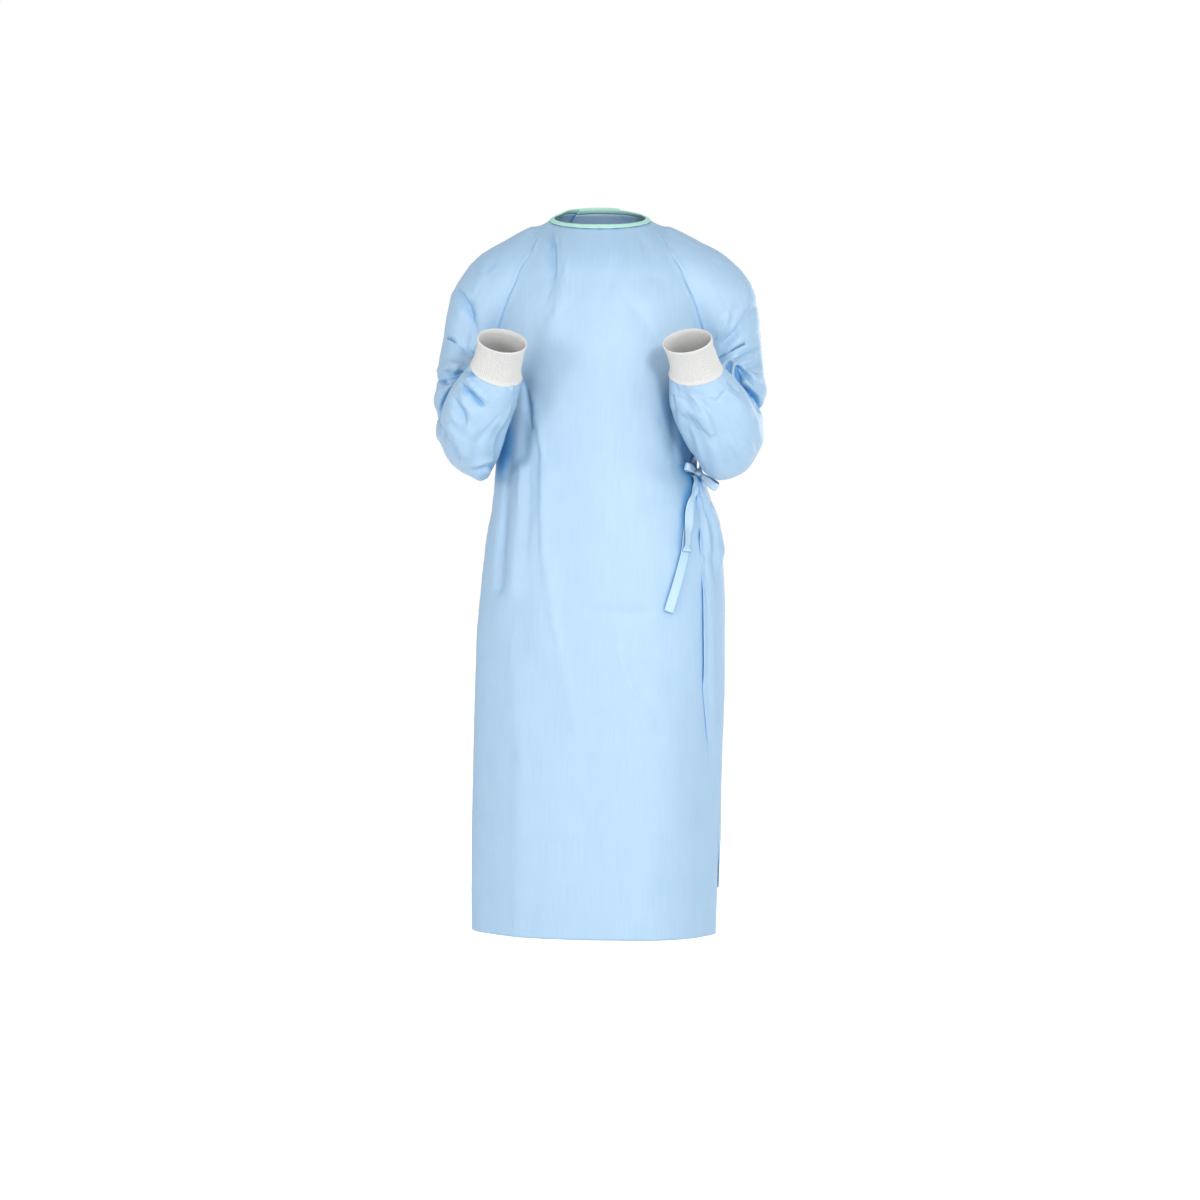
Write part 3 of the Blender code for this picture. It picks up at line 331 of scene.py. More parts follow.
FOREARM_CREASES = {RIGHT: [
    (-233, -277, -199, -313, 4.5, -10.3, 0.5, 0.4),
    (-226, -269, -192, -306, 4, 4.9, 0.5, 0.2),
    (-246, -303, -228, -340, 5.9, -6.5, 0.4, 0.2),
    (-238, -289, -219, -331, 5.4, 4.2, 0.3),
    (-257, -316, -243, -343, 5.4, 3.4, 0.2),
    (-272, -343, -262, -371, 4.5, -7.2, 0.4, 0.2),
    (-262, -371, -240, -401, 5, -8.4, 0.5, 0.2),
    (-257, -347, -228, -398, 7.2, 4.9, 0.3),
    (-211, -425, -175, -415, 5, -8, 0.5, -0.3),
    (-216, -415, -184, -405, 6.3, 4.2, 0.2),
    (-229, -257, -209, -262, 2.9, -4.9, 0.6, 0.2),
    (-228, -265, -207, -270, 3.6, 3.4, 0.3),
    (-184, -306, -139, -282, 12, 1.6),
    (-197, -303, -206, -323, 5, -1.2, 0.1),
    (-221, -354, -197, -391, 11.7, 3.4, 0.1),
    (-170, -350, -184, -398, 9, -3.4, 0.1),
    (-155, -289, -141, -296, 3, -1.3, 0.3),
    (-180, -286, -167, -299, 3, -1.1, 0.3),
], LEFT: [
    (131, -286, 175, -318, 12.9, -4.9, 0.2),
    (175, -318, 190, -359, 11, 6.5, 0.4, 0.3),
    (190, -359, 206, -401, 12, 4.9, 0.3, 0.3),
    (153, -296, 175, -318, 7.4, 4.6, 0.4, 0.3),
    (129, -296, 160, -323, 5.5, -3, 0.3),
    (136, -309, 170, -333, 6, 1.4, 0.2),
    (143, -333, 173, -357, 7.4, -3, 0.2),
    (168, -292, 197, -306, 2.6, -1.3, 0.5),
    (197, -306, 216, -287, 2.4, -2.8, 0.6),
    (180, -299, 207, -297, 4, 1, 0.2),
    (122, -296, 128, -347, 3.2, -4.9, 0.4),
    (128, -347, 151, -396, 3.2, -4.6, 0.4),
    (151, -396, 177, -422, 3.7, -3.8, 0.4),
    (235, -303, 258, -354, 12.9, 3, 0.1),
    (221, -388, 241, -422, 8.3, -3, 0.2),
    (241, -371, 258, -391, 8.3, 3.4, 0.2),
    (197, -405, 214, -435, 8, 1.4),
    (216, -289, 236, -306, 4.6, 3.4, 0.3),
    (218, -275, 235, -289, 3.7, -4.2, 0.4),
]}
CUFF_CREASES = {RIGHT: [
    (-207, -221, -199, -241, 3, -1.1, 0.3, 0.2),
    (-199, -241, -175, -260, 2.8, -1.2, 0.3, 0.2),
    (-212, -231, -204, -252, 2.8, 0.8, 0.2),
    (-204, -252, -187, -270, 2.8, 0.9, 0.2),
    (-199, -219, -172, -238, 3.2, -0.7, 0.2),
], LEFT: [
    (114, -236, 128, -268, 3, -0.9, 0.3, 0.2),
    (120, -262, 137, -276, 2.8, 0.8, 0.2),
    (178, -226, 168, -262, 3.4, -0.6, 0.2),
]}
# Creases on the sides that the photo doesn't show. Those of the sleeves have places as in SLEEVE_FOLDS, and
# those of the back as in FOLDS.
SLEEVE_BACK = [
    (98, 14, 72, 59.5, 6, -4, 0.3, 0.2),
    (110, 17.5, 92, 70, 7, 2.6, 0.2),
    (124, 10.5, 120, 52.5, 5, -3.4, 0.4),
    (150, 31.5, 172, 80.5, 7, 2.4, 0.2, 0.3),
    (160, 52.5, 196, 98, 6, -2.8, 0.3),
    (206, 49, 262, 77, 8, 2.2, 0.1),
    (214, 70, 286, 108.5, 6, -2.6, 0.3, 0.2),
    (232, 115.5, 300, 133, 7, 2, 0.1),
    (64, 87.5, 20, 115.5, 7, -2.6, 0.2),
    (40, 63, 0, 94.5, 9, 2.2, 0.1),
    (-30, 52.5, -110, 108.5, 11, -2.2),
    (-60, 24.5, -150, 70, 12, 2),
    (10, 147, 80, 164.5, 8, -2.6, 0.2),
    (30, -161, 90, -147, 8, -2.4, 0.2),
]
BACK_CREASES = [
    (168, 40, 186, 150, 7, -3, 0.3),
    (172, 45, 206, 190, 9, 2.6, 0.2),
    (196, 30, 214, 120, 7, -2.6, 0.3),
    (222, 170, 204, 260, 8, -3, 0.3, 0.2),
    (226, 200, 212, 330, 10, 2.8, 0.2),
    (110, 405, 150, 380, 8, -4.2, 0.3, 0.2),
    (112, 422, 166, 428, 9, 3.8, 0.3),
    (106, 440, 148, 480, 8, -4, 0.3),
    (104, 452, 132, 540, 8, 3.6, 0.3),
    (101, 460, 118, 600, 7, -3.4, 0.3),
    (98, 395, 120, 345, 7, 3, 0.3),
    (98, 382, 112, 318, 6, -2.8, 0.3),
    (130, 664, 226, 662, 2.6, -0.9, 0.6, 0.3),
    (188, 300, 189, 900, 2.6, -0.8, 0.6),
    (214, 260, 232, 420, 11, -3.4, 0.2, 0.2),
    (206, 500, 214, 860, 15, 3.4, 0.2),
    (198, 560, 203, 800, 11, -2.8, 0.2),
    (240, 560, 246, 1000, 17, -3.4, 0.1),
    (258, 430, 252, 640, 9, 3, 0.3, 0.2),
    (250, 400, 244, 520, 8, -2.8, 0.3),
    (150, 860, 156, 1180, 17, 3.4, 0.1),
    (128, 700, 134, 980, 13, -3, 0.1),
    (96, 780, 100, 1060, 13, -2.6, 0.1),
]

# The tied bow, as in the CAD source.
TIE_WIDTH = 0.016
TIE_WALL = 0.0012
KNOT_ANGLE = 66.5
KNOT_DROP = 0.432
KNOT_SIZE = np.array([0.0085, 0.0080, 0.0070])
LOOPS = table("axis_x axis_y axis_z across_x across_y across_z length height width", [
    (0.76, -0.34, -0.62, 0.42, -0.35, 0.84, 0.034, 0.011, 0.0145),
    (-0.62, -0.72, 0.3, 0.25, 0.15, 0.95, 0.024, 0.012, 0.013),
])
LOOP_PINCH = 0.62
LOOP_SPREAD = 1.6
LOOP_BULGE = (0.45, 0.75)
LOOP_START = 0.0012
TAIL_SHORT = table("angle drop height", [
    (63.7, 0.437, 0.011),
    (57, 0.46, 0.0112),
    (49.5, 0.485, 0.0105),
    (45.5, 0.515, 0.009),
    (43, 0.545, 0.0085),
    (42, 0.56, 0.0085),
])
TAIL_LONG = table("angle drop height", [
    (63.8, 0.4366, 0.0092),
    (58.5, 0.46, 0.0072),
    (51, 0.49, 0.0052),
    (45, 0.525, 0.0042),
    (41.5, 0.56, 0.004),
    (37, 0.6, 0.0045),
    (32.5, 0.64, 0.005),
    (30.5, 0.66, 0.005),
])
BELT = table("angle drop height", [
    (69.9, 0.429, 0.0076),
    (75, 0.424, 0.0066),
    (80, 0.419, 0.0058),
    (85, 0.414, 0.0052),
    (89, 0.411, 0.0046),
    (93, 0.409, 0.004),
])
TAIL_WIDTHS = (0.007, 0.0125, TIE_WIDTH, TIE_WIDTH, TIE_WIDTH)
BELT_START_WIDTH = 0.008


# ---------------------------------------------------------------- helpers on arrays
def follow(key, data, column):
    """A column's values at an array of keys of the first column, along a monotone cubic through the rows."""
    keys, values = next(iter(data.values())), data[column]
    steps = np.diff(keys)
    slopes = np.diff(values) / steps
    knots = np.concatenate([slopes[:1], slopes])
    before, after = slopes[:-1], slopes[1:]
    same = before * after > 0
    knots[1:-1] = np.where(same, 2 * before * after / np.where(same, before + after, 1.0), 0.0)
    key = np.clip(key, keys[0], keys[-1])
    i = np.clip(np.searchsorted(keys, key, side="right") - 1, 0, len(keys) - 2)
    h = steps[i]
    t = (key - keys[i]) / h
    return ((1 + 2 * t) * (1 - t) ** 2 * values[i] + t * (1 - t) ** 2 * h * knots[i]
            + t * t * (3 - 2 * t) * values[i + 1] + t * t * (t - 1) * h * knots[i + 1])


def smooth(x):
    x = np.clip(x, 0.0, 1.0)
    return x * x * (3 - 2 * x)


def bell(x):
    return np.exp(-x ** 2)


def unit(v):
    return v / np.maximum(np.linalg.norm(v, axis=-1, keepdims=True), 1e-12)


def stacked(*parts):
    """Points or places from their coordinates."""
    return np.stack(np.broadcast_arrays(*parts), axis=-1)


def moved(points, ways, by):
    """Points moved along their ways, each by its own distance."""
    return points + ways * np.asarray(by)[..., None]


def mixed(a, b, share):
    return a + (b - a) * (share[..., None] if a.ndim > share.ndim else share)


def wrapped(angle):
    return (angle + 180.0) % 360.0 - 180.0


def noise(u, v, seed):
    """Smooth noise between -1 and 1 on arrays of places, one bump a unit."""
    u, v = np.asarray(u, float), np.asarray(v, float)
    iu, iv = np.floor(u).astype(np.int64), np.floor(v).astype(np.int64)
    fu, fv = smooth(u - iu), smooth(v - iv)

    def lattice(a, b):
        h = (a * 374761393 + b * 668265263 + seed * 1274126177) & 0x7FFFFFFF
        h = ((h ^ (h >> 13)) * 1274126177) & 0x7FFFFFFF
        return ((h ^ (h >> 16)) & 0xFFFF) / 32767.5 - 1.0

    low = lattice(iu, iv) * (1 - fu) + lattice(iu + 1, iv) * fu
    high = lattice(iu, iv + 1) * (1 - fu) + lattice(iu + 1, iv + 1) * fu
    return low * (1 - fv) + high * fv


# ---------------------------------------------------------------- folds and creases along a run
def nearest(u, v, u0, v0, u1, v1):
    """The share of the way along a run where it is nearest to places u and v, and the distance there."""
    du, dv = u1 - u0, v1 - v0
    share = np.clip(((u - u0) * du + (v - v0) * dv) / (du * du + dv * dv), 0, 1)
    return share, np.hypot(u - u0 - share * du, v - v0 - share * dv)


def fold(u, v, *row):
    """Height of one soft fold."""
    *run, width, height = row
    return height * bell(nearest(u, v, *run)[1] / width)


CREASE_ENDS = 0.6         # width and height of a crease at its ends, as a share of those of its middle


def crease(u, v, u0, v0, u1, v1, width, height, sharp=0.0, lean=0.0):
    """Height of one crease, soft or sharp, wider on the side to which it leans."""
    share, away = nearest(u, v, u0, v0, u1, v1)
    side = np.sign((u - u0) * (v1 - v0) - (v - v0) * (u1 - u0))
    swell = CREASE_ENDS + (1 - CREASE_ENDS) * np.sin(math.pi * share)
    return height * swell * np.exp(-(away / (width * (1 + lean * side) * swell)) ** (2.0 - sharp))


def creases(u, v, rows):
    return MM * sum(crease(u / MM, v / MM, *row) for row in rows)


# ---------------------------------------------------------------- the body form
def along_girth(angle):
    """Millimetres round the body from angle 0."""
    return np.radians(angle) * GIRTH_RADIUS / MM


def fold_height(angle, drop, folds=FOLDS):
    total = 0.0
    for angle0, drop0, angle1, drop1, width, height in folds:
        middle = (angle0 + angle1) / 2
        end = along_girth(angle1 - middle)
        u = along_girth(wrapped(angle - middle))
        total = total + fold(u, drop / MM, -end, drop0, end, drop1, width, height)
    return total * MM


def form_point(angle, drop):
    """Points of the body form, with its folds; the neck rises towards the back."""
    angle, drop = np.broadcast_arrays(np.asarray(angle, float), np.asarray(drop, float))
    a = np.radians(wrapped(angle))
    sine, cosine = np.sin(a), np.cos(a)
    wide = np.where(a >= 0, follow(drop, BODY, "left"), follow(drop, BODY, "right"))
    deep = np.where(cosine >= 0, follow(drop, BODY, "front"), follow(drop, BODY, "back"))
    power = 2.0 / follow(drop, BODY, "square")
    x = wide * np.copysign(np.abs(sine) ** power, sine)
    y = -deep * np.copysign(np.abs(cosine) ** power, cosine)
    out = unit(stacked(x / wide ** 2, y / deep ** 2, 0.0))
    neck_slope = NECK_RISE * (1 - smooth(drop / NECK_FADE)) * cosine
    hem_slope = HEM_DIP * smooth((drop - DIP_FROM) / (GOWN_LENGTH - DIP_FROM)) * (1 + sine) / 2
    return moved(stacked(x, y, -drop - neck_slope - hem_slope), out, fold_height(angle, drop))


NORMAL_STEPS = (1.5, 0.004)   # angle and drop to either side of a point for its normal


def form_normal(angle, drop):
    """Outward unit normals of the body form."""
    turn, step = NORMAL_STEPS
    angle, drop = np.broadcast_arrays(np.asarray(angle, float), np.asarray(drop, float))
    low, high = np.maximum(drop - step, 0.0), np.minimum(drop + step, GOWN_LENGTH)
    around = form_point(angle + turn, drop) - form_point(angle - turn, drop)
    down = form_point(angle, high) - form_point(angle, low)
    return unit(np.cross(down, around))


def on_gown(angle, drop, height):
    return moved(form_point(angle, drop), form_normal(angle, drop), height)


def on_wrap(angle, drop, height):
    return on_gown(angle, drop, height + LAYER + fold_height(angle, drop, GATHERS))


def raglan_angles(drop):
    below = drop >= UNDERARM_DROP
    return [np.where(below, 90.0, follow(drop, RAGLAN, column)) for column in ("front_angle", "back_angle")]


# ---------------------------------------------------------------- sleeves
def ring_axes(angle, tilt, side):
    """Unit ways outward and backward of rings round an arm."""
    a, t = np.radians(angle), np.radians(tilt)
    back = stacked(0.0, np.cos(a), -np.sin(a))
    rise = stacked(0.0, np.sin(a), np.cos(a))
    lift = np.sin(t) * np.where(angle < 90, 1.0, -1.0)
    return moved(stacked(side * np.cos(t), 0.0, 0.0), rise, lift), back


def cap_ring(side, drop):
    """Centre, axes, half sizes and sweep of the shoulder cap's arcs, with their two seam points."""
    front_angle, back_angle = raglan_angles(drop)
    front, back = form_point(side * front_angle, drop), form_point(side * back_angle, drop)
    top_x = side * follow(drop, CAP, SIDE_NAMES[side] + "_x")
    top = stacked(top_x, follow(drop, CAP, "top_y"), follow(drop, CAP, "top_z"))
    sweep = np.radians(follow(drop, CAP, "sweep"))
    middle = (front + back) / 2
    reach = np.linalg.norm(top - middle, axis=-1)
    outward = (top - middle) / reach[..., None]
    wide = reach / (1 - np.cos(sweep))
    half_seam = np.linalg.norm(back - front, axis=-1) / 2
    late = smooth((drop - CAP_TURN_FROM) / (UNDERARM_DROP - CAP_TURN_FROM))
    deep = (1 - late) * half_seam / np.maximum(np.sin(sweep), LEAST_SINE) + late * UNDERARM_HALF_DEEP
    backward = np.broadcast_to(np.array([0.0, 1.0, 0.0]), outward.shape)
    return moved(top, outward, -wide), outward, backward, wide, deep, sweep, front, back


def arm_ring(side, along):
    """Centre, axes and half sizes of rings below the underarm; the first follow the cap's last ring."""
    name = SIDE_NAMES[side]
    first = ARM["along"][0]
    key = np.maximum(along, first)
    centre = stacked(side * follow(key, ARM, name + "_x"), follow(key, ARM, "y"), follow(key, ARM, "z"))
    axes = ring_axes(follow(key, ARM, "angle"), follow(key, ARM, name + "_tilt"), side)
    below = (centre, *axes, follow(key, ARM, name + "_wide"), follow(key, ARM, "half_deep"))
    above = cap_ring(side, np.full_like(along, UNDERARM_DROP))[:5]
    share = smooth(along / first)
    centre, outward, backward, wide, deep = (mixed(a, b, share) for a, b in zip(above, below))
    return centre, unit(outward), unit(backward), wide, deep


def sleeve_fold(side, along, turn):
    """Height of the sleeve form's folds; a turn of 2 goes once round, and each counts both ways round."""
    laps = [(turn + lap) * SLEEVE_TURN / MM for lap in (-2, 0, 2)]
    return MM * sum(fold(along / MM, lap, *row) for row in SLEEVE_FOLDS[side] for lap in laps)


def cap_point(side, drop, turn):
    """Points of the shoulder cap; turn runs from the front seam (-1) over the top (0) to the back (1)."""
    centre, outward, backward, wide, deep, sweep, front, back = (
        part[:, None] for part in cap_ring(side, drop))
    drop, turn = drop[:, None], turn[None, :]

    def arc(t):
        return moved(moved(centre, outward, wide * np.cos(sweep * t)), backward, deep * np.sin(sweep * t))

    point = moved(arc(turn), front - arc(-1.0), smooth(-turn))
    point = moved(point, back - arc(1.0), smooth(turn))
    front_angle, back_angle = raglan_angles(drop)
    neck = form_point(side * (front_angle + (turn + 1) / 2 * (back_angle - front_angle)), drop)
    point = mixed(point, neck, (1 - smooth(drop / NECK_BLEND)) * np.ones_like(turn))
    fade = 1 - smooth((np.abs(turn) - FOLD_REACH) / FOLD_FADE)
    return moved(point, unit(point - centre), sleeve_fold(side, drop - UNDERARM_DROP, turn) * fade)


def arm_point(side, along, turn):
    """Points of the sleeve below the underarm, flatter and sagging under the elbow."""
    centre, outward, backward, wide, deep = (part[:, None] for part in arm_ring(side, along))
    along, turn = along[:, None], turn[None, :]
    name = SIDE_NAMES[side]
    across, behind = np.cos(math.pi * turn), np.sin(math.pi * turn)
    flat = np.where(across > 0, follow(along, ELBOW_SAG, name + "_flat"), 1.0)
    lower = behind > 1e-9
    across = np.where(lower, np.copysign(np.abs(across) ** flat, across), across + 0 * flat)
    sag = np.where(lower, follow(along, ELBOW_SAG, name + "_sag") * (1 - np.abs(across)), 0.0)
    behind = np.where(lower, np.abs(behind) ** flat, behind + 0 * flat)
    point = moved(moved(centre, outward, wide * across - sag), backward, deep * behind)
    ends = smooth(along / FOLD_ENDS) * smooth((ARM["along"][-1] - along) / FOLD_ENDS)
    return moved(point, unit(point - centre), sleeve_fold(side, along, turn) * ends)


def cuff_point(side, part, turn, ridge):
    """Points of the cuff's surface, ridge above its plain form."""
    name = SIDE_NAMES[side]
    start = stacked(side * follow(part, CUFF, name + "_x"), ARM["y"][-1], ARM["z"][-1])
    centre = moved(start, unit(CUFF_RISE), CUFF_LENGTH * part)
    angle, tilt = np.full_like(part, ARM["angle"][-1]), follow(part, CUFF, name + "_tilt")
    outward, backward = ring_axes(angle, tilt, side)
    phi = math.pi * turn
    spoke = moved(outward * (follow(part, CUFF, "half_wide") * np.cos(phi))[..., None], backward,
                  follow(part, CUFF, "half_deep") * np.sin(phi))
    return moved(centre + spoke, unit(spoke), ridge)


# ---------------------------------------------------------------- relief of the cloth
WANDER = 0.0016           # how far a crease strays from its straight run
WANDER_PITCH = 0.014
FACING = (0.3, 0.5)       # front creases fade where the cloth turns away from the eye
SWELLS = ((0.060, 0.140, 1.0), (0.024, 0.060, 0.5))   # pitch across and along the cloth, share
CRUMPLE = (0.017, 0.026, 0.22)    # the same
FINE_FADE = 0.004         # within this distance of an edge fine relief fades
EDGE_FADE = 0.006         # within this distance of a seam creases fade, so both its sides meet
NECK_FADE_IN = 0.016      # within this distance of the neck's edge too
SEAM_DIP = 0.00015        # how far the cloth dips into a seam
SEAM_REACH = 0.0022
SEAM_RIDGE = 0.00035      # how far the seam allowance shows through beside it
SEAM_ALLOWANCE = 0.0045
SEAM_FILL = 0.0015
SEAM_FILL_REACH = 0.008
SEAM_FILL_ENDS = 0.03
PUCKER = 0.0005
PUCKER_PITCH = (0.011, 0.05)      # along a seam and away from it
FINE_PUCKER = (2.3, 0.02, 0.6)    # how much closer along the seam, pitch away from it, share
PUCKER_REACH = 0.012


def seen(points):
    """Where points show on the plane y = 0 for the eye in front of the gown: x and z."""
    share = -EYE[1] / (points[..., 1] - EYE[1])
    return points[..., 0] * share, EYE[2] + (points[..., 2] - EYE[2]) * share


def seen_creases(points, normals, rows, seed):
    """Height of the creases placed as seen from the front, on what faces that way."""
    x, z = seen(points)
    stray_x, stray_z = (WANDER * noise(x / WANDER_PITCH, z / WANDER_PITCH, seed + k) for k in (0, 1))
    return creases(x + stray_x, z + stray_z, rows) * smooth((FACING[0] - normals[..., 1]) / FACING[1])


def uneven(u, v, seed, height):
    """The cloth's slight waviness: long soft swells along its length and a finer crumple on them."""
    total = sum(share * noise(u / across, v / along, seed + k)
                for k, (across, along, share) in enumerate(SWELLS))
    across, along, share = CRUMPLE
    return height * (total + share * (1 - 2 * np.abs(noise(u / across, v / along, seed + 2))))


def seam_height(distance, ridge):
    """How cloth lies beside a seam: it dips into it, and the allowance shows through as a low ridge."""
    return ridge * bell((distance - SEAM_ALLOWANCE) / SEAM_REACH) - SEAM_DIP * bell(distance / SEAM_REACH)


def puckers(distance, along, seed):
    """Small uneven puckers that a seam draws in the cloth beside it; at the seam itself both sides meet."""
    pitch, spread = PUCKER_PITCH
    closer, fine_spread, share = FINE_PUCKER
    wave = noise(along / pitch, distance / spread, seed)
    wave = wave + share * noise(along / pitch * closer, distance / fine_spread, seed + 7)
    return PUCKER * wave * bell(distance / PUCKER_REACH) * smooth(distance / FINE_FADE)


def seam_fill(distance, drop):
    """Rounds off the valley where a raglan seam joins sleeve and body."""
    reach = smooth(drop / SEAM_FILL_ENDS) * smooth((UNDERARM_DROP - drop) / SEAM_FILL_ENDS)
    return SEAM_FILL * bell(distance / SEAM_FILL_REACH) * reach


def panel_seam(distance, drop, seed):
    """Relief of a body panel beside its seam."""
    relief = seam_height(distance, SEAM_RIDGE / 2) + puckers(distance, drop, seed)
    return relief * smooth(drop / FINE_FADE) + seam_fill(distance, drop)


# ---------------------------------------------------------------- meshes
CLOTH = 0.0006            # thickness of the cloth's thin shell
TUCK_WIDTH = 0.0012
TUCK_SINK = 0.0009


def grid_normals(grid):
    down, across = np.gradient(grid, axis=0), np.gradient(grid, axis=1)
    return unit(np.cross(down, across))


def run_length(grid, axis):
    """Distance along the rows or columns of a grid from its first one."""
    steps = np.linalg.norm(np.diff(grid, axis=axis), axis=-1)
    pad = [(0, 0), (0, 0)]
    pad[axis] = (1, 0)
    return np.pad(np.cumsum(steps, axis=axis), pad)


def grid_faces(rows, columns, flip=False, ring=False, hoop=False):
    """Faces of a grid, facing outward; ring joins its last column to the first, hoop its last row."""
    faces = []
    for r in range(rows if hoop else rows - 1):
        for c in range(columns if ring else columns - 1):
            a, b = r * columns, (r + 1) % rows * columns
            n = (c + 1) % columns
            quad = (a + c, b + c, b + n, a + n)
            faces.append(quad[::-1] if flip else quad)
    return faces


def add_object(name, data):
    made = bpy.data.objects.new(name, data)
    bpy.context.scene.collection.objects.link(made)
    return made


def add_piece(name, verts, faces, uvs, material, nodes=()):
    """One piece from points, faces and each point's place on the flat cloth."""
    mesh = bpy.data.meshes.new(name)
    mesh.from_pydata(np.asarray(verts).tolist(), [], faces)
    layer = mesh.uv_layers.new(name="grain")
    corner = np.empty(len(mesh.loops), dtype=np.int64)
    mesh.loops.foreach_get("vertex_index", corner)
    layer.data.foreach_set("uv", np.asarray(uvs, dtype=np.float32)[corner].ravel())
    mesh.shade_smooth()
    mesh.materials.append(material)
    piece = add_object(name, mesh)
    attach(piece, "root")
    if nodes:
        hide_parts(*nodes)
    return piece


def add_cloth(name, grid, grain, nodes, flip=False, material=None):
    """A thin shell on a grid of points, blue unless a material is given; grain has the places when flat."""
    faces = grid_faces(*grid.shape[:2], flip)
    piece = add_piece(name, grid.reshape(-1, 3), faces, grain.reshape(-1, 2), material or BLUE, nodes)
    shell = piece.modifiers.new("shell", "SOLIDIFY")
    shell.thickness = CLOTH
    shell.offset = -1.0
    return piece


def tucked(grid, normal, grain, sides, sink):
    """The grid with a strip beyond its seam edges that lies under the neighbouring cloth."""
    for side in sides:
        edge, inner = (0, 1) if side < 0 else (-1, -2)
        outward = unit(grid[:, edge] - grid[:, inner])
        strip = grid[:, edge] + outward * TUCK_WIDTH - normal[:, edge] * sink
        flat = grain[:, edge] + [side * TUCK_WIDTH, 0.0]
        pairs = [(strip[:, None], grid), (flat[:, None], grain)]
        if side > 0:
            pairs = [pair[::-1] for pair in pairs]
        grid, grain = (np.concatenate(pair, axis=1) for pair in pairs)
    return grid, grain


# ---------------------------------------------------------------- materials
# Painted shade: an ambient occlusion look-up turns the cloth's colour darker and bluer in narrow hollows,
# creases and gaps.
SHADE_SAMPLES = 8
GLOSS_ROUGHNESS = 0.62
SPECULAR = 0.2
SHADE_FULL_TO = 0.30          # painted shade: share of open surroundings up to which cloth has its full shade colour
SHADE_FREE_FROM = 0.97          # and from which it has no painted shade


class Nodes:
    """Short calls that add shader nodes to a material and link them."""

    def __init__(self, name):
        self.material = bpy.data.materials.new(name)
        self.material.use_nodes = True
        self.tree = self.material.node_tree
        self.shader = self.tree.nodes["Principled BSDF"]
        self.place = self.tree.nodes.new("ShaderNodeTexCoord").outputs["UV"]

    def node(self, kind, **values):
        """A new node with values for its sockets; an underscore stands for a space in a socket's name."""
        made = self.tree.nodes.new("ShaderNode" + kind)
        for socket, value in values.items():
            made.inputs[socket.replace("_", " ")].default_value = value
        return made

    def link(self, source, target):
        self.tree.links.new(source, target)

    def math(self, operation, a, b):
        made = self.node("Math")
        made.operation = operation
        for value, socket in zip((a, b), made.inputs):
            if isinstance(value, float):
                socket.default_value = value
            else:
                self.link(value, socket)
        return made.outputs[0]

    def blend(self, first, *others):
        """The sum of values, each a pair of output and share."""
        total = self.math("MULTIPLY", *first)
        for other in others:
            total = self.math("ADD", total, self.math("MULTIPLY", *other))
        return total

    def noise(self, across, along, detail, seed):
        """Noise with this many bumps a metre across and along the cloth."""
        mapping = self.node("Mapping", Scale=(across, along, 1.0), Location=(seed, seed * 0.37, 0.0))
        texture = self.node("TexNoise", Scale=1.0, Detail=detail)
        self.link(self.place, mapping.inputs["Vector"])
        self.link(mapping.outputs["Vector"], texture.inputs["Vector"])
        return texture.outputs["Fac"]

    def ramp(self, value, low, high, dark, light):
        made = self.node("ValToRGB")
        for element, place, colour in zip(made.color_ramp.elements, (low, high), (dark, light)):
            element.position = place
            element.color = (*colour, 1.0)
        self.link(value, made.inputs["Fac"])
        return made.outputs["Color"]

    def bump(self, height, strength, distance):
        made = self.node("Bump", Strength=strength, Distance=distance)
        self.link(height, made.inputs["Height"])
        self.link(made.outputs["Normal"], self.shader.inputs["Normal"])

    def with_painted_shade(self, colour, shade_colour, reach):
        """Painted shade: the colour where the cloth lies open, which turns to a darker, bluer shade colour
        where ambient occlusion finds it in a narrow hollow.
        """
        near = self.node("AmbientOcclusion", Distance=reach)
        near.samples = SHADE_SAMPLES
        share = self.node("MapRange", From_Min=SHADE_FULL_TO, From_Max=SHADE_FREE_FROM)
        self.link(near.outputs["AO"], share.inputs["Value"])
        mix = self.node("Mix")
        mix.data_type = "RGBA"
        self.link(share.outputs["Result"], mix.inputs["Factor"])
        mix.inputs[6].default_value = (*shade_colour, 1.0)
        self.link(colour, mix.inputs[7])
        return mix.outputs[2]

    def layer(self, surface, over, share):
        mix = self.node("MixShader", Fac=share)
        self.link(surface, mix.inputs[1])
        self.link(over.outputs["BSDF"], mix.inputs[2])
        return mix.outputs["Shader"]

    def finish(self, roughness, through, share, gloss=0.0):
        """Lets a share of light through in a colour, and adds a soft white gloss if it has one."""
        self.shader.inputs["Roughness"].default_value = roughness
        self.shader.inputs["Specular IOR Level"].default_value = SPECULAR
        surface = self.shader.outputs["BSDF"]
        if gloss:
            surface = self.layer(surface, self.node("BsdfGlossy", Roughness=GLOSS_ROUGHNESS), gloss)
        surface = self.layer(surface, self.node("BsdfTranslucent", Color=(*through, 1.0)), share)
        self.link(surface, self.tree.nodes["Material Output"].inputs["Surface"])
        return self.material


def nonwoven(name, shade_colour, dark, light, through, reach):
    """Smooth nonwoven: fibre streaks along the grain, fine fuzz, faint cloudiness, painted shade in narrow
    hollows and a soft sheen.
    """
    nodes = Nodes(name)
    streak = nodes.noise(across=430, along=15, detail=3, seed=1.7)
    fibre = nodes.noise(across=1500, along=240, detail=2, seed=5.1)
    cloud = nodes.noise(across=30, along=18, detail=3, seed=9.3)
    tone = nodes.blend((streak, 0.52), (cloud, 0.32), (fibre, 0.16))
    # painted shade: the streaked colour turns to the shade colour where ambient occlusion within reach finds
    # a hollow
    colour = nodes.with_painted_shade(nodes.ramp(tone, 0.34, 0.66, dark, light), shade_colour, reach)
    nodes.link(colour, nodes.shader.inputs["Base Color"])
    nodes.bump(nodes.math("ADD", streak, fibre), strength=0.14, distance=0.0005)
    return nodes.finish(roughness=0.60, through=through, share=0.06, gloss=0.14)


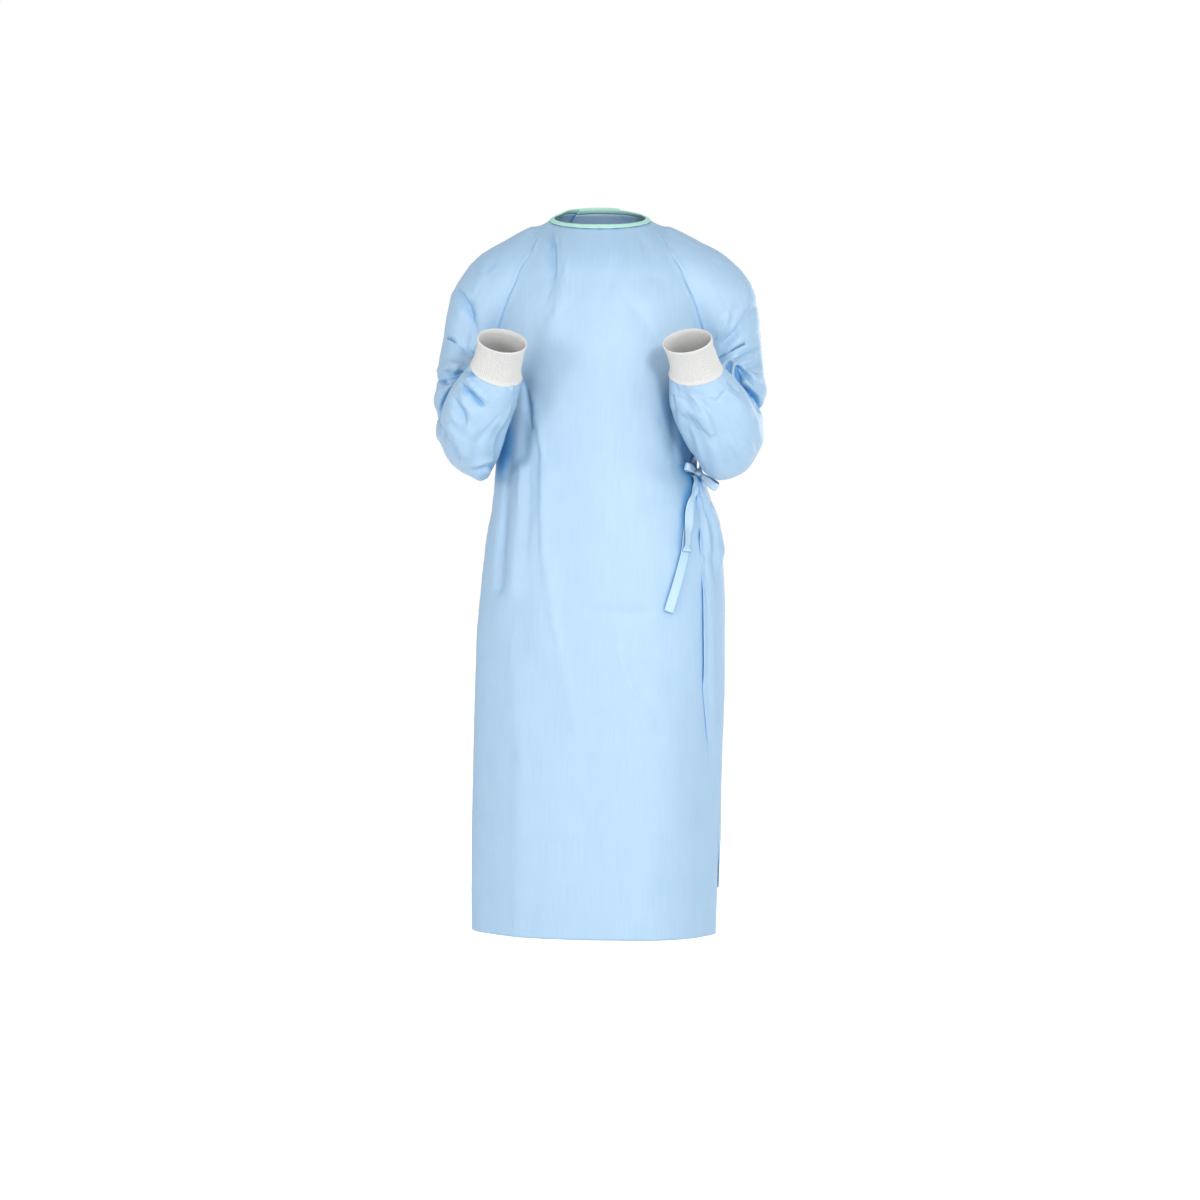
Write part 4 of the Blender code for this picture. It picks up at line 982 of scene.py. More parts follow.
def rib_knit(name, dark, light, through):
    """Fine cotton knit: small loops in columns, with soft fuzz."""
    nodes = Nodes(name)
    loops = nodes.noise(across=1300, along=900, detail=1, seed=2.3)
    fuzz = nodes.noise(across=260, along=200, detail=3, seed=7.9)
    tone = nodes.blend((loops, 0.6), (fuzz, 0.4))
    nodes.link(nodes.ramp(tone, 0.35, 0.65, dark, light), nodes.shader.inputs["Base Color"])
    nodes.bump(loops, strength=0.25, distance=0.0004)
    return nodes.finish(roughness=0.92, through=through, share=0.10)


def woven_tape(name, dark, light, through):
    """Soft tape: a fine weave across its length."""
    nodes = Nodes(name)
    threads = nodes.noise(across=2200, along=420, detail=1, seed=3.1)
    wear = nodes.noise(across=320, along=120, detail=3, seed=4.7)
    tone = nodes.blend((threads, 0.55), (wear, 0.45))
    nodes.link(nodes.ramp(tone, 0.35, 0.65, dark, light), nodes.shader.inputs["Base Color"])
    nodes.bump(threads, strength=0.3, distance=0.0003)
    return nodes.finish(roughness=0.78, through=through, share=0.06, gloss=0.10)


# The colour given for hollows is painted shade for narrow hollows and gaps; reach is how far its occlusion
# look-up looks.
BLUE = nonwoven("sms_blue_cloth", shade_colour=(0.020, 0.240, 0.540), dark=(0.170, 0.300, 0.435),
                light=(0.200, 0.335, 0.475), through=(0.12, 0.38, 0.68), reach=0.028)
TIE_BLUE = nonwoven("sms_blue_tie", shade_colour=(0.030, 0.250, 0.540), dark=(0.205, 0.345, 0.480),
                    light=(0.260, 0.400, 0.530), through=(0.18, 0.42, 0.70), reach=0.004)
WHITE = rib_knit("knit_white_cloth", dark=(0.43, 0.43, 0.425), light=(0.50, 0.50, 0.495),
                 through=(0.50, 0.50, 0.49))
MINT = woven_tape("mint_binding_cloth", dark=(0.245, 0.475, 0.405), light=(0.290, 0.530, 0.455),
                  through=(0.27, 0.52, 0.45))

# ---------------------------------------------------------------- the panels
FRONT_COLUMNS = 160
FRONT_ROWS = 290
WRAP_COLUMNS = 190
WRAP_CROWDING = 1.3       # above 1 its columns crowd towards the free edge
UNDER_COLUMNS = 60
BODY_ROWS = 230
FRONT_UNEVEN = 0.0007
WRAP_UNEVEN = 0.0008
NECK_PUCKER = 0.0004
NECK_PUCKER_PITCH = (0.008, 0.03)
NECK_PUCKER_REACH = 0.014
FREE_EDGE = 0.0004        # the fold-over along a free edge
FREE_EDGE_AT = 0.0045
FREE_EDGE_REACH = 0.0022
EDGE_PRESS = 0.0036       # the wrap's edge lies close to the front
EDGE_PRESS_REACH = 0.020
UNDER_SLACK = 0.0006      # how far the hidden panel falls in between its folds
UNDER_SLACK_FROM = 0.02
UNDER_SLACK_PITCH = (0.05, 0.12)


def rows_and_shares(rows, first, columns):
    """Drops of a panel's rows as a column, and shares of its width as a row."""
    return np.linspace(0, GOWN_LENGTH, rows + 1)[:, None], np.linspace(first, 1, columns + 1)[None, :]


def front_panel():
    drops, turns = rows_and_shares(FRONT_ROWS, -1, FRONT_COLUMNS)
    angle = turns * raglan_angles(drops)[0]
    base = form_point(angle, drops)
    normal = form_normal(angle, drops)
    across = run_length(base, 1)
    edge = np.minimum(across, across[:, -1:] - across)
    drops = drops + 0 * across
    height = seen_creases(base, normal, FRONT_CREASES, 41) + uneven(across, drops, 61, FRONT_UNEVEN)
    height = height * smooth(edge / EDGE_FADE) * smooth(drops / NECK_FADE_IN) + panel_seam(edge, drops, 3)
    pitch, length = NECK_PUCKER_PITCH
    pucker = noise(across / pitch, drops / length, 17) * bell(drops / NECK_PUCKER_REACH)
    grid = moved(base, normal, height + NECK_PUCKER * pucker)
    grid, grain = tucked(grid, normal, stacked(across - across[:, -1:] / 2, drops), (-1, 1), TUCK_SINK)
    piece = add_cloth("front_cloth", grid, grain, ["front_panel"])


def wrap_height(angle):
    return LAYER * (1 - smooth((angle - WRAP_STEP_TO) / (WRAP_STEP_FROM - WRAP_STEP_TO)))


def wrap_place(share, drop):
    """Angle and drop of points of the wrap, whose share runs from its free edge (0) to its seam (1)."""
    seam = 360.0 - raglan_angles(drop)[1]
    edge = follow(drop, WRAP_EDGE, "angle")
    lift = HEM_LIFT * (1 - share) ** LIFT_POWER * smooth((drop - LIFT_FROM) / (GOWN_LENGTH - LIFT_FROM))
    return edge + share * (seam - edge), drop - lift


def back_creases(angle, drop, seed):
    """Height of the back's creases, measured along the girth from its middle."""
    u = along_girth(angle - 180.0) * MM
    rows = [(along_girth(angle0 - 180.0), drop0, along_girth(angle1 - 180.0), drop1, *shape)
            for angle0, drop0, angle1, drop1, *shape in BACK_CREASES]
    stray = WANDER * noise(u / WANDER_PITCH, drop / WANDER_PITCH, seed)
    return creases(u + stray, drop + stray, rows)


def back_wrap():
    drops, shares = rows_and_shares(BODY_ROWS, 0, WRAP_COLUMNS)
    shares = shares ** WRAP_CROWDING
    angle, low = wrap_place(shares, drops)
    flare = CORNER_FLARE * (1 - shares) ** 3 * smooth((drops - FLARE_FROM) / (GOWN_LENGTH - FLARE_FROM))
    normal = form_normal(angle, low)
    stand = wrap_height(angle) + fold_height(angle, low, GATHERS) + flare
    base = moved(form_point(angle, low), normal, stand)
    across = run_length(base, 1)
    seam, drops = across[:, -1:] - across, drops + 0 * across
    height = (seen_creases(base, normal, WRAP_CREASES, 43) + back_creases(angle, low, 45)
              + uneven(across, low, 65, WRAP_UNEVEN))
    height = height * smooth(seam / EDGE_FADE) * smooth(drops / NECK_FADE_IN) + panel_seam(seam, drops, 5)
    height = height + FREE_EDGE * bell((across - FREE_EDGE_AT) / FREE_EDGE_REACH)
    height = height - EDGE_PRESS * bell(across / EDGE_PRESS_REACH) * (angle < 180.0)
    grid, grain = tucked(moved(base, normal, height), normal, stacked(across, low), (-1, 1), 2 * TUCK_SINK)
    piece = add_cloth("wrap_cloth", grid, grain, ["back_wrap"])


def back_under():
    drops, shares = rows_and_shares(BODY_ROWS, 0, UNDER_COLUMNS)
    seam = raglan_angles(drops)[1]
    angle = seam + shares * (UNDER_EDGE - seam)
    depth = (UNDER_SINK * smooth(shares / UNDER_SINK_SHARE)
             * smooth((drops - UNDER_SINK_FROM) / UNDER_SINK_FADE))
    normal = form_normal(angle, drops)
    base = moved(form_point(angle, drops), normal, -depth)
    across = run_length(base, 1)
    drops = drops + 0 * across
    pitch, length = UNDER_SLACK_PITCH
    slack = np.abs(noise(across / pitch, drops / length, 71)) * smooth(across / UNDER_SLACK_FROM)
    grid = moved(base, normal, panel_seam(across, drops, 9) - UNDER_SLACK * slack)
    grid, grain = tucked(grid, normal, stacked(across, drops), (-1,), 2 * TUCK_SINK)
    piece = add_cloth("under_cloth", grid, grain, ["back_under"])


# ---------------------------------------------------------------- sleeves and cuffs in cloth
SLEEVE_COLUMNS = 150
CAP_ROWS = 80
ARM_ROWS = 220
CAP_END = 0.02            # above the underarm, where the relief beside the raglan seams fades
UPPER_TO = 0.165          # below the underarm, where the upper arm's creases begin to fade
FORE_FROM = 0.180         # and where the forearm's begin
ARM_BLEND = 0.020
BACK_SHIFT = 0.004        # the two sleeves have the same creases behind, moved by this
STRAY_TURNS = 9           # turns of those creases to one side or the other round half a sleeve
SLEEVE_UNEVEN = 0.0009
UNEVEN_FADE = 0.5         # power of the cosine that fades it towards the seam
CUFF_GATHER = 0.0011
CUFF_GATHERS = ((15, 0.03, 1.0, 91), (31, 0.02, 0.6, 93))   # round half a sleeve, pitch along, share, seed
GATHER_REACH = 0.010      # least distance from the cuff that they reach
GATHER_SWING = 0.008      # half of what their reach varies by, and how often it does round half a sleeve
GATHER_SWINGS = 7
GATHER_EDGE = 0.003
CUFF_RIBS = 66
RIB_POINTS = 6            # points round each rib
RIB_HEIGHT = 0.00055
RIBS_FROM = (0.05, 0.06)  # share of the cuff where its ribs begin, and over which they rise
RIBS_TO = (0.955, 0.04)   # and where they end, and over which they fall
CUFF_ROWS = 34
CUFF_LINING_ROWS = 8
LINING_TO = -0.02         # share of the cuff at which the lining ends, inside the sleeve
CUFF_OVERLAP = 0.040      # share of its length by which a cuff lies over the sleeve's end
CUFF_RAGGED = ((4, 0.6, 25), (11, 0.3, 27))   # how that end varies: times round half a cuff, share, seed
CUFF_ROLL = 0.0019        # the rolled edge at the sleeve, with its place and reach as shares of the cuff
CUFF_ROLL_AT = (0.030, 0.032)
CUFF_LIP = 0.0005         # the thicker rim at the mouth, likewise
CUFF_LIP_AT = (0.975, 0.02)
CUFF_SLACK = 0.0005
CUFF_SLACKS = (5, 4)      # slack waves round half a cuff and along it
CUFF_RIM = 0.0008


def cuff_gathers(turns, to_cuff):
    """Uneven gathers where the cuff draws the sleeve in."""
    gather = sum(share * noise(turns * count, to_cuff / pitch, seed)
                 for count, pitch, share, seed in CUFF_GATHERS)
    reach = GATHER_REACH + GATHER_SWING * (1 + noise(turns * GATHER_SWINGS, 0 * turns, 95))
    return CUFF_GATHER * gather * bell(to_cuff / reach) * smooth(to_cuff / GATHER_EDGE)


def sleeve(side, name):
    """A raglan sleeve, its creases placed as seen from the front and like ones behind."""
    drops = np.linspace(0, UNDERARM_DROP, CAP_ROWS + 1)
    alongs = np.linspace(0, ARM["along"][-1], ARM_ROWS + 1)[1:]
    turns = np.linspace(-1, 1, SLEEVE_COLUMNS + 1)
    base = np.concatenate([cap_point(side, drops, turns), arm_point(side, alongs, turns)])
    base[CAP_ROWS:, -1] = base[CAP_ROWS:, 0]
    normal = grid_normals(base) * side
    normal[CAP_ROWS:, -1] = normal[CAP_ROWS:, 0] = unit(normal[CAP_ROWS:, -1] + normal[CAP_ROWS:, 0])
    across = run_length(base, 1)
    keys = np.concatenate([drops - UNDERARM_DROP, alongs])[:, None] + 0 * across
    turns = turns[None, :] + 0 * across
    edge = np.minimum(across, across[:, -1:] - across)
    to_cuff = ARM["along"][-1] - keys

    upper = seen_creases(base, normal, UPPER_ARM_CREASES[side], 47 + side)
    upper = upper * (1 - smooth((keys - UPPER_TO) / ARM_BLEND))
    fore = seen_creases(base, normal, FOREARM_CREASES[side], 51 + side)
    fore = fore * smooth((keys - FORE_FROM) / ARM_BLEND)
    shift = BACK_SHIFT * side
    stray = WANDER * noise(keys / WANDER_PITCH, turns * STRAY_TURNS, 57)
    behind = creases(keys + shift + stray, turns * SLEEVE_TURN + shift, SLEEVE_BACK)
    wave = uneven(turns * SLEEVE_TURN, keys, 81 + side, SLEEVE_UNEVEN)
    wave = wave * np.cos(math.pi / 2 * turns) ** UNEVEN_FADE
    height = (upper + fore + behind + wave) * np.where(keys < 0, smooth(edge / EDGE_FADE), 1.0)
    height = height * smooth((keys + UNDERARM_DROP) / NECK_FADE_IN) * smooth(to_cuff / FINE_FADE)
    beside = seam_height(edge, SEAM_RIDGE) + puckers(edge, keys, 11 + side)
    height = height + beside * smooth(-keys / CAP_END) + seam_fill(edge, keys + UNDERARM_DROP)
    height = height + cuff_gathers(turns, to_cuff)
    height[CAP_ROWS:, -1] = height[CAP_ROWS:, 0]
    grain = stacked(across - across[:, -1:] / 2, keys)
    piece = add_cloth(name + "_cloth", moved(base, normal, height), grain, [name], flip=side < 0)


def cuff(side, name):
    """A rib-knit cuff: fine ribs, a smooth rim at its mouth and a rolled edge at the sleeve."""
    count = CUFF_RIBS * RIB_POINTS
    turns = np.arange(count)[None, :] / count * 2 - 1
    ragged = sum(share * noise(turns * times, 0 * turns, seed) for times, share, seed in CUFF_RAGGED)
    overlap = CUFF_OVERLAP * (1 + ragged)
    parts = np.linspace(0, 1, CUFF_ROWS + 1)[:, None] * (1 + overlap) - overlap
    turns = turns + 0 * parts
    ribs = RIB_HEIGHT * np.cos(turns * math.pi * CUFF_RIBS)
    ribs = ribs * smooth((parts - RIBS_FROM[0]) / RIBS_FROM[1]) * smooth((RIBS_TO[0] - parts) / RIBS_TO[1])
    roll = (CUFF_ROLL * bell((parts + overlap - CUFF_ROLL_AT[0]) / CUFF_ROLL_AT[1])
            + CUFF_LIP * bell((parts - CUFF_LIP_AT[0]) / CUFF_LIP_AT[1]))
    slack = CUFF_SLACK * noise(turns * CUFF_SLACKS[0], parts * CUFF_SLACKS[1], 21)
    base = cuff_point(side, parts, turns, 0.0)
    normal = grid_normals(base) * -side
    folds = seen_creases(base, normal, CUFF_CREASES[side], 23)
    outer = cuff_point(side, parts, turns, ribs + roll + slack + folds)
    inside = np.linspace(1.0, LINING_TO, CUFF_LINING_ROWS + 1)[:, None]
    inside, around = np.broadcast_arrays(inside, turns[:1])
    rim = cuff_point(side, parts[-1:], turns[-1:], -CUFF_WALL / 2) + unit(CUFF_RISE) * CUFF_RIM
    inner = cuff_point(side, inside, around, -CUFF_WALL)
    grid = np.concatenate([outer, rim, inner])
    girth = run_length(base, 1)[:, -1].max()
    flat = np.concatenate([parts, parts[-1:], inside]) * CUFF_LENGTH
    grain = stacked(turns[:1] * girth / 2, flat).reshape(-1, 2)
    faces = grid_faces(len(grid), count, flip=side > 0, ring=True, hoop=True)
    piece = add_piece(name + "_knit", grid.reshape(-1, 3), faces, grain, WHITE, [name])


# ---------------------------------------------------------------- lofted strips and stitches
def loft(name, rings, material, nodes, closed=False, spacing=0.002):
    """A strip lofted through rings of points; open ones get flat ends."""
    stations, count = rings.shape[:2]
    faces = grid_faces(stations, count, flip=True, ring=True, hoop=closed)
    if not closed:
        faces.append(tuple(range(count)))
        faces.append(tuple(reversed(range((stations - 1) * count, stations * count))))
    half = count // 2
    place = np.abs(np.arange(count) - half) / half * TIE_WIDTH
    uvs = stacked(place[None, :], np.arange(stations)[:, None] * spacing).reshape(-1, 2)
    return add_piece(name, rings.reshape(-1, 3), faces, uvs, material, nodes)


STITCH_SIZE = (0.0022, 0.0005, 0.0003)
STITCH_PROFILE = ((-0.5, -0.4), (-0.25, 0.8), (0.25, 0.8), (0.5, -0.4))     # shares of length and height


def stitches(name, middles, alongs, outs, material):
    """A row of thread stitches, each a small ridge that dips in at both ends."""
    length, width, height = STITCH_SIZE
    verts, faces = [], []
    for middle, along, out in zip(middles, unit(alongs), unit(outs)):
        side = np.cross(along, out)
        first = len(verts)
        for share, rise in STITCH_PROFILE:
            here = middle + along * length * share
            for across, lift in ((-0.5, 0.0), (0.0, 1.0), (0.5, 0.0)):
                verts.append(here + side * width * across + out * height * (rise + lift))
        for k in range(len(STITCH_PROFILE) - 1):
            for c in range(2):
                a = first + 3 * k + c
                faces.append((a, a + 3, a + 4, a + 1))
    return add_piece(name, verts, faces, np.zeros((len(verts), 2)), material)


# ---------------------------------------------------------------- the neck's binding and its tab
BINDING_STATIONS = 280
BINDING_PROFILE = [
    (0.0006, -0.0006), (0.00115, 0.0006), (0.00125, 0.0016), (0.00105, 0.0022), (0.00135, 0.0034),
    (0.00135, 0.0056), (0.0010, 0.0074), (0.0004, 0.0084), (-0.0006, 0.0089), (-0.0014, 0.0083),
    (-0.0019, 0.0062), (-0.0021, 0.0040), (-0.0019, 0.0018), (-0.0014, -0.0004),
]
BINDING_STITCH = (0.00125, 0.0022)    # out from the neck edge and up from it, as in the profile
BINDING_STITCHES = 150
BINDING_WAVE = 0.00025
BINDING_WAVE_PITCH = 6.0              # degrees
NECK_STEP = 0.012                     # drop of the points from which the way up at the neck is taken
WRAP_CORNER = WRAP_EDGE["angle"][0]   # where the wrap's free edge meets the neck
TAB_REACH = (20.0, -17.0)             # to either side of that corner
TAB_STEP = (9.0, 7.5)
TAB_TOP = 0.006
TAB_BOTTOM = 0.031
TAB_STAND = 0.0003
TAB_WALL = 0.0012
TAB_EDGE = 0.0012                     # width and share of the height of its thinner edge
TAB_EDGE_SHARE = 0.55
TAB_COLUMNS = 61
TAB_ROWS = 17
TAB_DEGREE = math.radians(1) * 0.075  # length of a degree at the tab
TAB_STITCH_INSET = 0.0025
TAB_STITCH_DIP = 0.0002
TAB_STITCH_REACH = 0.0009
TAB_STITCHES = 14


def neck_frames(count):
    """Places along the neck edge from the under panel's end to the wrap's, with the ways out and up."""
    angles = np.linspace(UNDER_EDGE, WRAP_CORNER - 360.0, count)
    height = np.where(angles < -90, wrap_height(angles + 360.0), 0.0)
    here, below = form_point(angles, 0.0), form_point(angles, NECK_STEP)
    normal, up = form_normal(angles, 0.0), unit(here - below)
    wave = BINDING_WAVE * noise(angles / BINDING_WAVE_PITCH, 0 * angles, 31)
    return moved(here, normal, height + wave), normal, up


def binding():
    here, normal, up = neck_frames(BINDING_STATIONS + 1)
    rings = np.stack([here + normal * out + up * rise for out, rise in BINDING_PROFILE], axis=1)
    grain = stacked(run_length(rings, 1), run_length(rings, 0))
    tape = add_cloth("binding_tape", rings, grain, ["neck_binding"], True, MINT)
    here, normal, up = neck_frames(BINDING_STITCHES)
    out, rise = BINDING_STITCH
    middles = here + normal * out + up * rise
    thread = stitches("binding_stitches", middles, np.gradient(here, axis=0), normal, MINT)


def tab_points(angle, drop, stand):
    step, width = TAB_STEP
    return on_gown(angle, drop, LAYER * smooth((angle - WRAP_CORNER + step) / width) + stand)


def tab_thread(first, last):
    """Two rows of stitches inside the tab's upper and lower edges."""
    inset = TAB_STITCH_INSET / TAB_DEGREE
    places = [(a, d) for d in (TAB_TOP + TAB_STITCH_INSET, TAB_BOTTOM - TAB_STITCH_INSET)
              for a in np.linspace(first - inset, last + inset, TAB_STITCHES)]
    middles, steps = (np.array([tab_points(a - turn, d, TAB_STAND + TAB_WALL) for a, d in places])
                      for turn in (0.0, 1.0))
    outs = np.array([form_normal(a, d) for a, d in places])
    return stitches("tab_stitches", middles, steps - middles, outs, BLUE)


def neck_tab():
    """The closing tab behind the neck, stitched inside its edge."""
    first, last = (WRAP_CORNER + reach for reach in TAB_REACH)
    angle, drop = np.broadcast_arrays(np.linspace(first, last, TAB_COLUMNS)[None, :],
                                      np.linspace(TAB_TOP, TAB_BOTTOM, TAB_ROWS)[:, None])
    near = np.minimum(np.minimum(drop - TAB_TOP, TAB_BOTTOM - drop),
                      np.minimum(first - angle, angle - last) * TAB_DEGREE)
    wall = TAB_WALL * (TAB_EDGE_SHARE + (1 - TAB_EDGE_SHARE) * smooth(near / TAB_EDGE))
    wall = wall - TAB_STITCH_DIP * bell((near - TAB_STITCH_INSET) / TAB_STITCH_REACH)
    outer = tab_points(angle, drop, TAB_STAND + wall)
    inner = tab_points(angle, drop, TAB_STAND + 0 * drop)
    rows, columns = drop.shape
    count = rows * columns
    faces = grid_faces(rows, columns, flip=True)
    faces += [tuple(v + count for v in face[::-1]) for face in faces]
    order = np.arange(count).reshape(rows, columns)
    edges = [*order[0], *order[1:, -1], *order[-1, -2::-1], *order[-2:0:-1, 0]]
    faces += [(b, a, a + count, b + count) for a, b in zip(edges, edges[1:] + edges[:1])]
    uvs = stacked(run_length(outer, 1), drop).reshape(-1, 2)
    verts = np.concatenate([outer.reshape(-1, 3), inner.reshape(-1, 3)])
    tab = add_piece("tab_cloth", verts, faces, np.concatenate([uvs, uvs]), BLUE, ["neck_tab"])
    tab_thread(first, last)


# ---------------------------------------------------------------- the tied bow
TIE_PROFILE = 13          # points across each face of a tie
TIE_CAMBER = 0.10
TIE_GATHERED = (0.45, 0.5)   # share of its full width where a tie is all gathered, and over which it opens
TIE_EDGE = (0.40, 0.10)      # where its thinner edges begin, from its middle, and over which they thin
TIE_EDGE_THINNER = 0.45      # by this share
TIE_GROOVE = 0.0003       # the fold line along a tie's middle
TIE_GROOVE_REACH = 0.06
TIE_GROOVE_BEHIND = 0.5   # how deep it is on the back, as a share
TIE_PLEAT = 0.0007
TIE_PLEATS = 3            # across its width
TIE_CURL = 0.0005
TIE_CURLS = (9, 2.2)      # along a tie and across it
TIE_STATIONS = 90
LOOP_STATIONS = 72
TAIL_TURNS = 7.0          # turns to one side or the other along a tail
KNOT_RINGS = 29
KNOT_POINTS = 40
KNOT_POLE = 0.02          # angle left open at either end
KNOT_BAND = (0.55, -0.25, 0.80)       # the way across the band that lies over the knot
KNOT_PLEATS = (0.80, 0.10, -0.55)     # and across its pleats
KNOT_WAIST = 0.86         # size beside the band, as a share
KNOT_BAND_HALF = 0.62     # half of the band's width, on a knot of radius 1
KNOT_BAND_FADE = 0.16
KNOT_PLEAT = (0.04, 9)    # height and closeness of the pleats
KNOT_BAND_PLEAT = (0.035, 17)
TAIL_TURN_IN = 0.15       # share of a tail over which it begins to turn
TAILS = (("short", TAIL_SHORT, 0.70), ("long", TAIL_LONG, 0.30))    # name, places and twist


def ribbon(name, centres, across, widths, nodes, seed, closed=False):
    """A flat folded tie along a line of centres, each with the way across it and its width there."""
    if closed:
        along = unit(np.roll(centres, -1, axis=0) - np.roll(centres, 1, axis=0))
    else:
        along = unit(np.gradient(centres, axis=0))
    across = unit(across - along * np.sum(across * along, axis=-1, keepdims=True))
    face = np.cross(along, across)
    run = np.linspace(0, 1, len(centres))[:, None]
    u = np.linspace(-0.5, 0.5, TIE_PROFILE)[None, :]
    widths = widths[:, None]
    gather = 1 - smooth((widths / TIE_WIDTH - TIE_GATHERED[0]) / TIE_GATHERED[1])
    middle = (0.25 - u * u) * TIE_CAMBER * widths * (1 + 2 * gather)
    middle = middle + TIE_PLEAT * gather * np.cos(u * 2 * TIE_PLEATS * math.pi)
    if not closed:
        curl = noise(run * TIE_CURLS[0] + 0 * u, u * TIE_CURLS[1], seed)
        middle = middle + TIE_CURL * curl * (1 - gather)
    thin = TIE_EDGE_THINNER * smooth((np.abs(u) - TIE_EDGE[0]) / TIE_EDGE[1])
    wall = TIE_WALL / 2 * (1 - thin)
    groove = TIE_GROOVE * bell(u / TIE_GROOVE_REACH)
    flat = moved(centres[:, None], across[:, None], widths * u)
    outer = moved(flat, face[:, None], middle + wall - groove)
    inner = moved(flat, face[:, None], middle - wall + groove * TIE_GROOVE_BEHIND)
    rings = np.concatenate([outer, inner[:, ::-1]], axis=1)
    length = float(np.linalg.norm(np.diff(centres, axis=0), axis=1).sum())
    return loft(name, rings, TIE_BLUE, nodes, closed, length / len(centres)), outer


def knot():
    """The tight knot: a lump with one pleated band across it."""
    centre = on_wrap(KNOT_ANGLE, KNOT_DROP, KNOT_SIZE[0])
    polar = np.linspace(KNOT_POLE, math.pi - KNOT_POLE, KNOT_RINGS)[:, None]
    azimuth = (np.arange(KNOT_POINTS) / KNOT_POINTS * 2 * math.pi)[None, :]
    ball = stacked(np.sin(polar) * np.cos(azimuth), np.sin(polar) * np.sin(azimuth), np.cos(polar))
    band, pleats = ball @ unit(KNOT_BAND), ball @ unit(KNOT_PLEATS)
    swell = KNOT_WAIST + (1 - KNOT_WAIST) * smooth((KNOT_BAND_HALF - np.abs(band)) / KNOT_BAND_FADE)
    swell = swell + KNOT_PLEAT[0] * np.cos(pleats * KNOT_PLEAT[1])
    swell = swell + KNOT_BAND_PLEAT[0] * np.cos(band * KNOT_BAND_PLEAT[1]) * smooth(1 - np.abs(band))
    rings = moved(centre, ball * KNOT_SIZE, swell)
    return loft("knot_cloth", rings[::-1], TIE_BLUE, ["tie_knot"], spacing=0.001), centre


def loop(name, node, centre, shape, seed):
    """A bow loop: a closed band that leaves the knot along its axis and comes back."""
    axis = unit(np.array([shape["axis_x"], shape["axis_y"], shape["axis_z"]]))
    across = np.array([shape["across_x"], shape["across_y"], shape["across_z"]])
    across = unit(across - axis * np.dot(across, axis))
    face = np.cross(axis, across)
    start = centre + axis * (1 / np.linalg.norm(axis / KNOT_SIZE) + LOOP_START)
    a = np.arange(LOOP_STATIONS) / LOOP_STATIONS * 2 * math.pi
    out = (1 - np.cos(a)) / 2
    bulge = shape["height"] / 2 * np.sin(a) * (LOOP_BULGE[0] + LOOP_BULGE[1] * out)
    centres = moved(moved(start, axis, shape["length"] * out), face, bulge)
    widths = shape["width"] * (LOOP_PINCH + (1 - LOOP_PINCH) * smooth(LOOP_SPREAD * out))
    return ribbon(name, centres, np.broadcast_to(across, centres.shape), widths, [node], seed, closed=True)


def tie_path(places):
    """Shares of the way along a tie, with the angle, drop and height there."""
    shares = np.linspace(0, 1, TIE_STATIONS)
    path = dict(share=np.linspace(0, 1, len(places["drop"])), **places)
    return shares, *(follow(shares, path, column) for column in ("angle", "drop", "height"))


def tail(name, node, places, twist, seed):
    """A hanging tail that turns a little about its own length, from none at the knot to its full turn a
    short way down.
    """
    shares, angle, drop, height = tie_path(places)
    out = form_normal(angle, drop)
    turn = twist * noise(shares * TAIL_TURNS, 0 * shares, seed) * smooth(shares / TAIL_TURN_IN)
    turn = turn[:, None]
    across = unit(np.cross(out, [0.0, 0.0, 1.0])) * np.cos(turn) + out * np.sin(turn)
    widths = np.interp(shares, np.linspace(0, 1, len(TAIL_WIDTHS)), TAIL_WIDTHS)
    return ribbon(name, on_gown(angle, drop, height), across, widths, [node], seed)


def belt():
    """The belt's end, flat on the wrap from the knot to behind the arm."""
    shares, angle, drop, height = tie_path(BELT)
    centres = on_wrap(angle, drop, height)
    across = np.broadcast_to([0.0, 0.0, 1.0], centres.shape)
    widths = BELT_START_WIDTH + (TIE_WIDTH - BELT_START_WIDTH) * shares
    return ribbon("belt_cloth", centres, across, widths, ["tie_belt"], 121)


def bow():
    lump, centre = knot()
    for k, side in enumerate(("left", "right")):
        shape = {column: values[k] for column, values in LOOPS.items()}
        piece, face = loop(f"loop_{side}_cloth", f"tie_loop_{side}", centre, shape, 101 + k)
    for name, places, twist in TAILS:
        piece, face = tail(f"tail_{name}_cloth", f"tie_tail_{name}", places, twist, 111 + len(name))
    piece, face = belt()


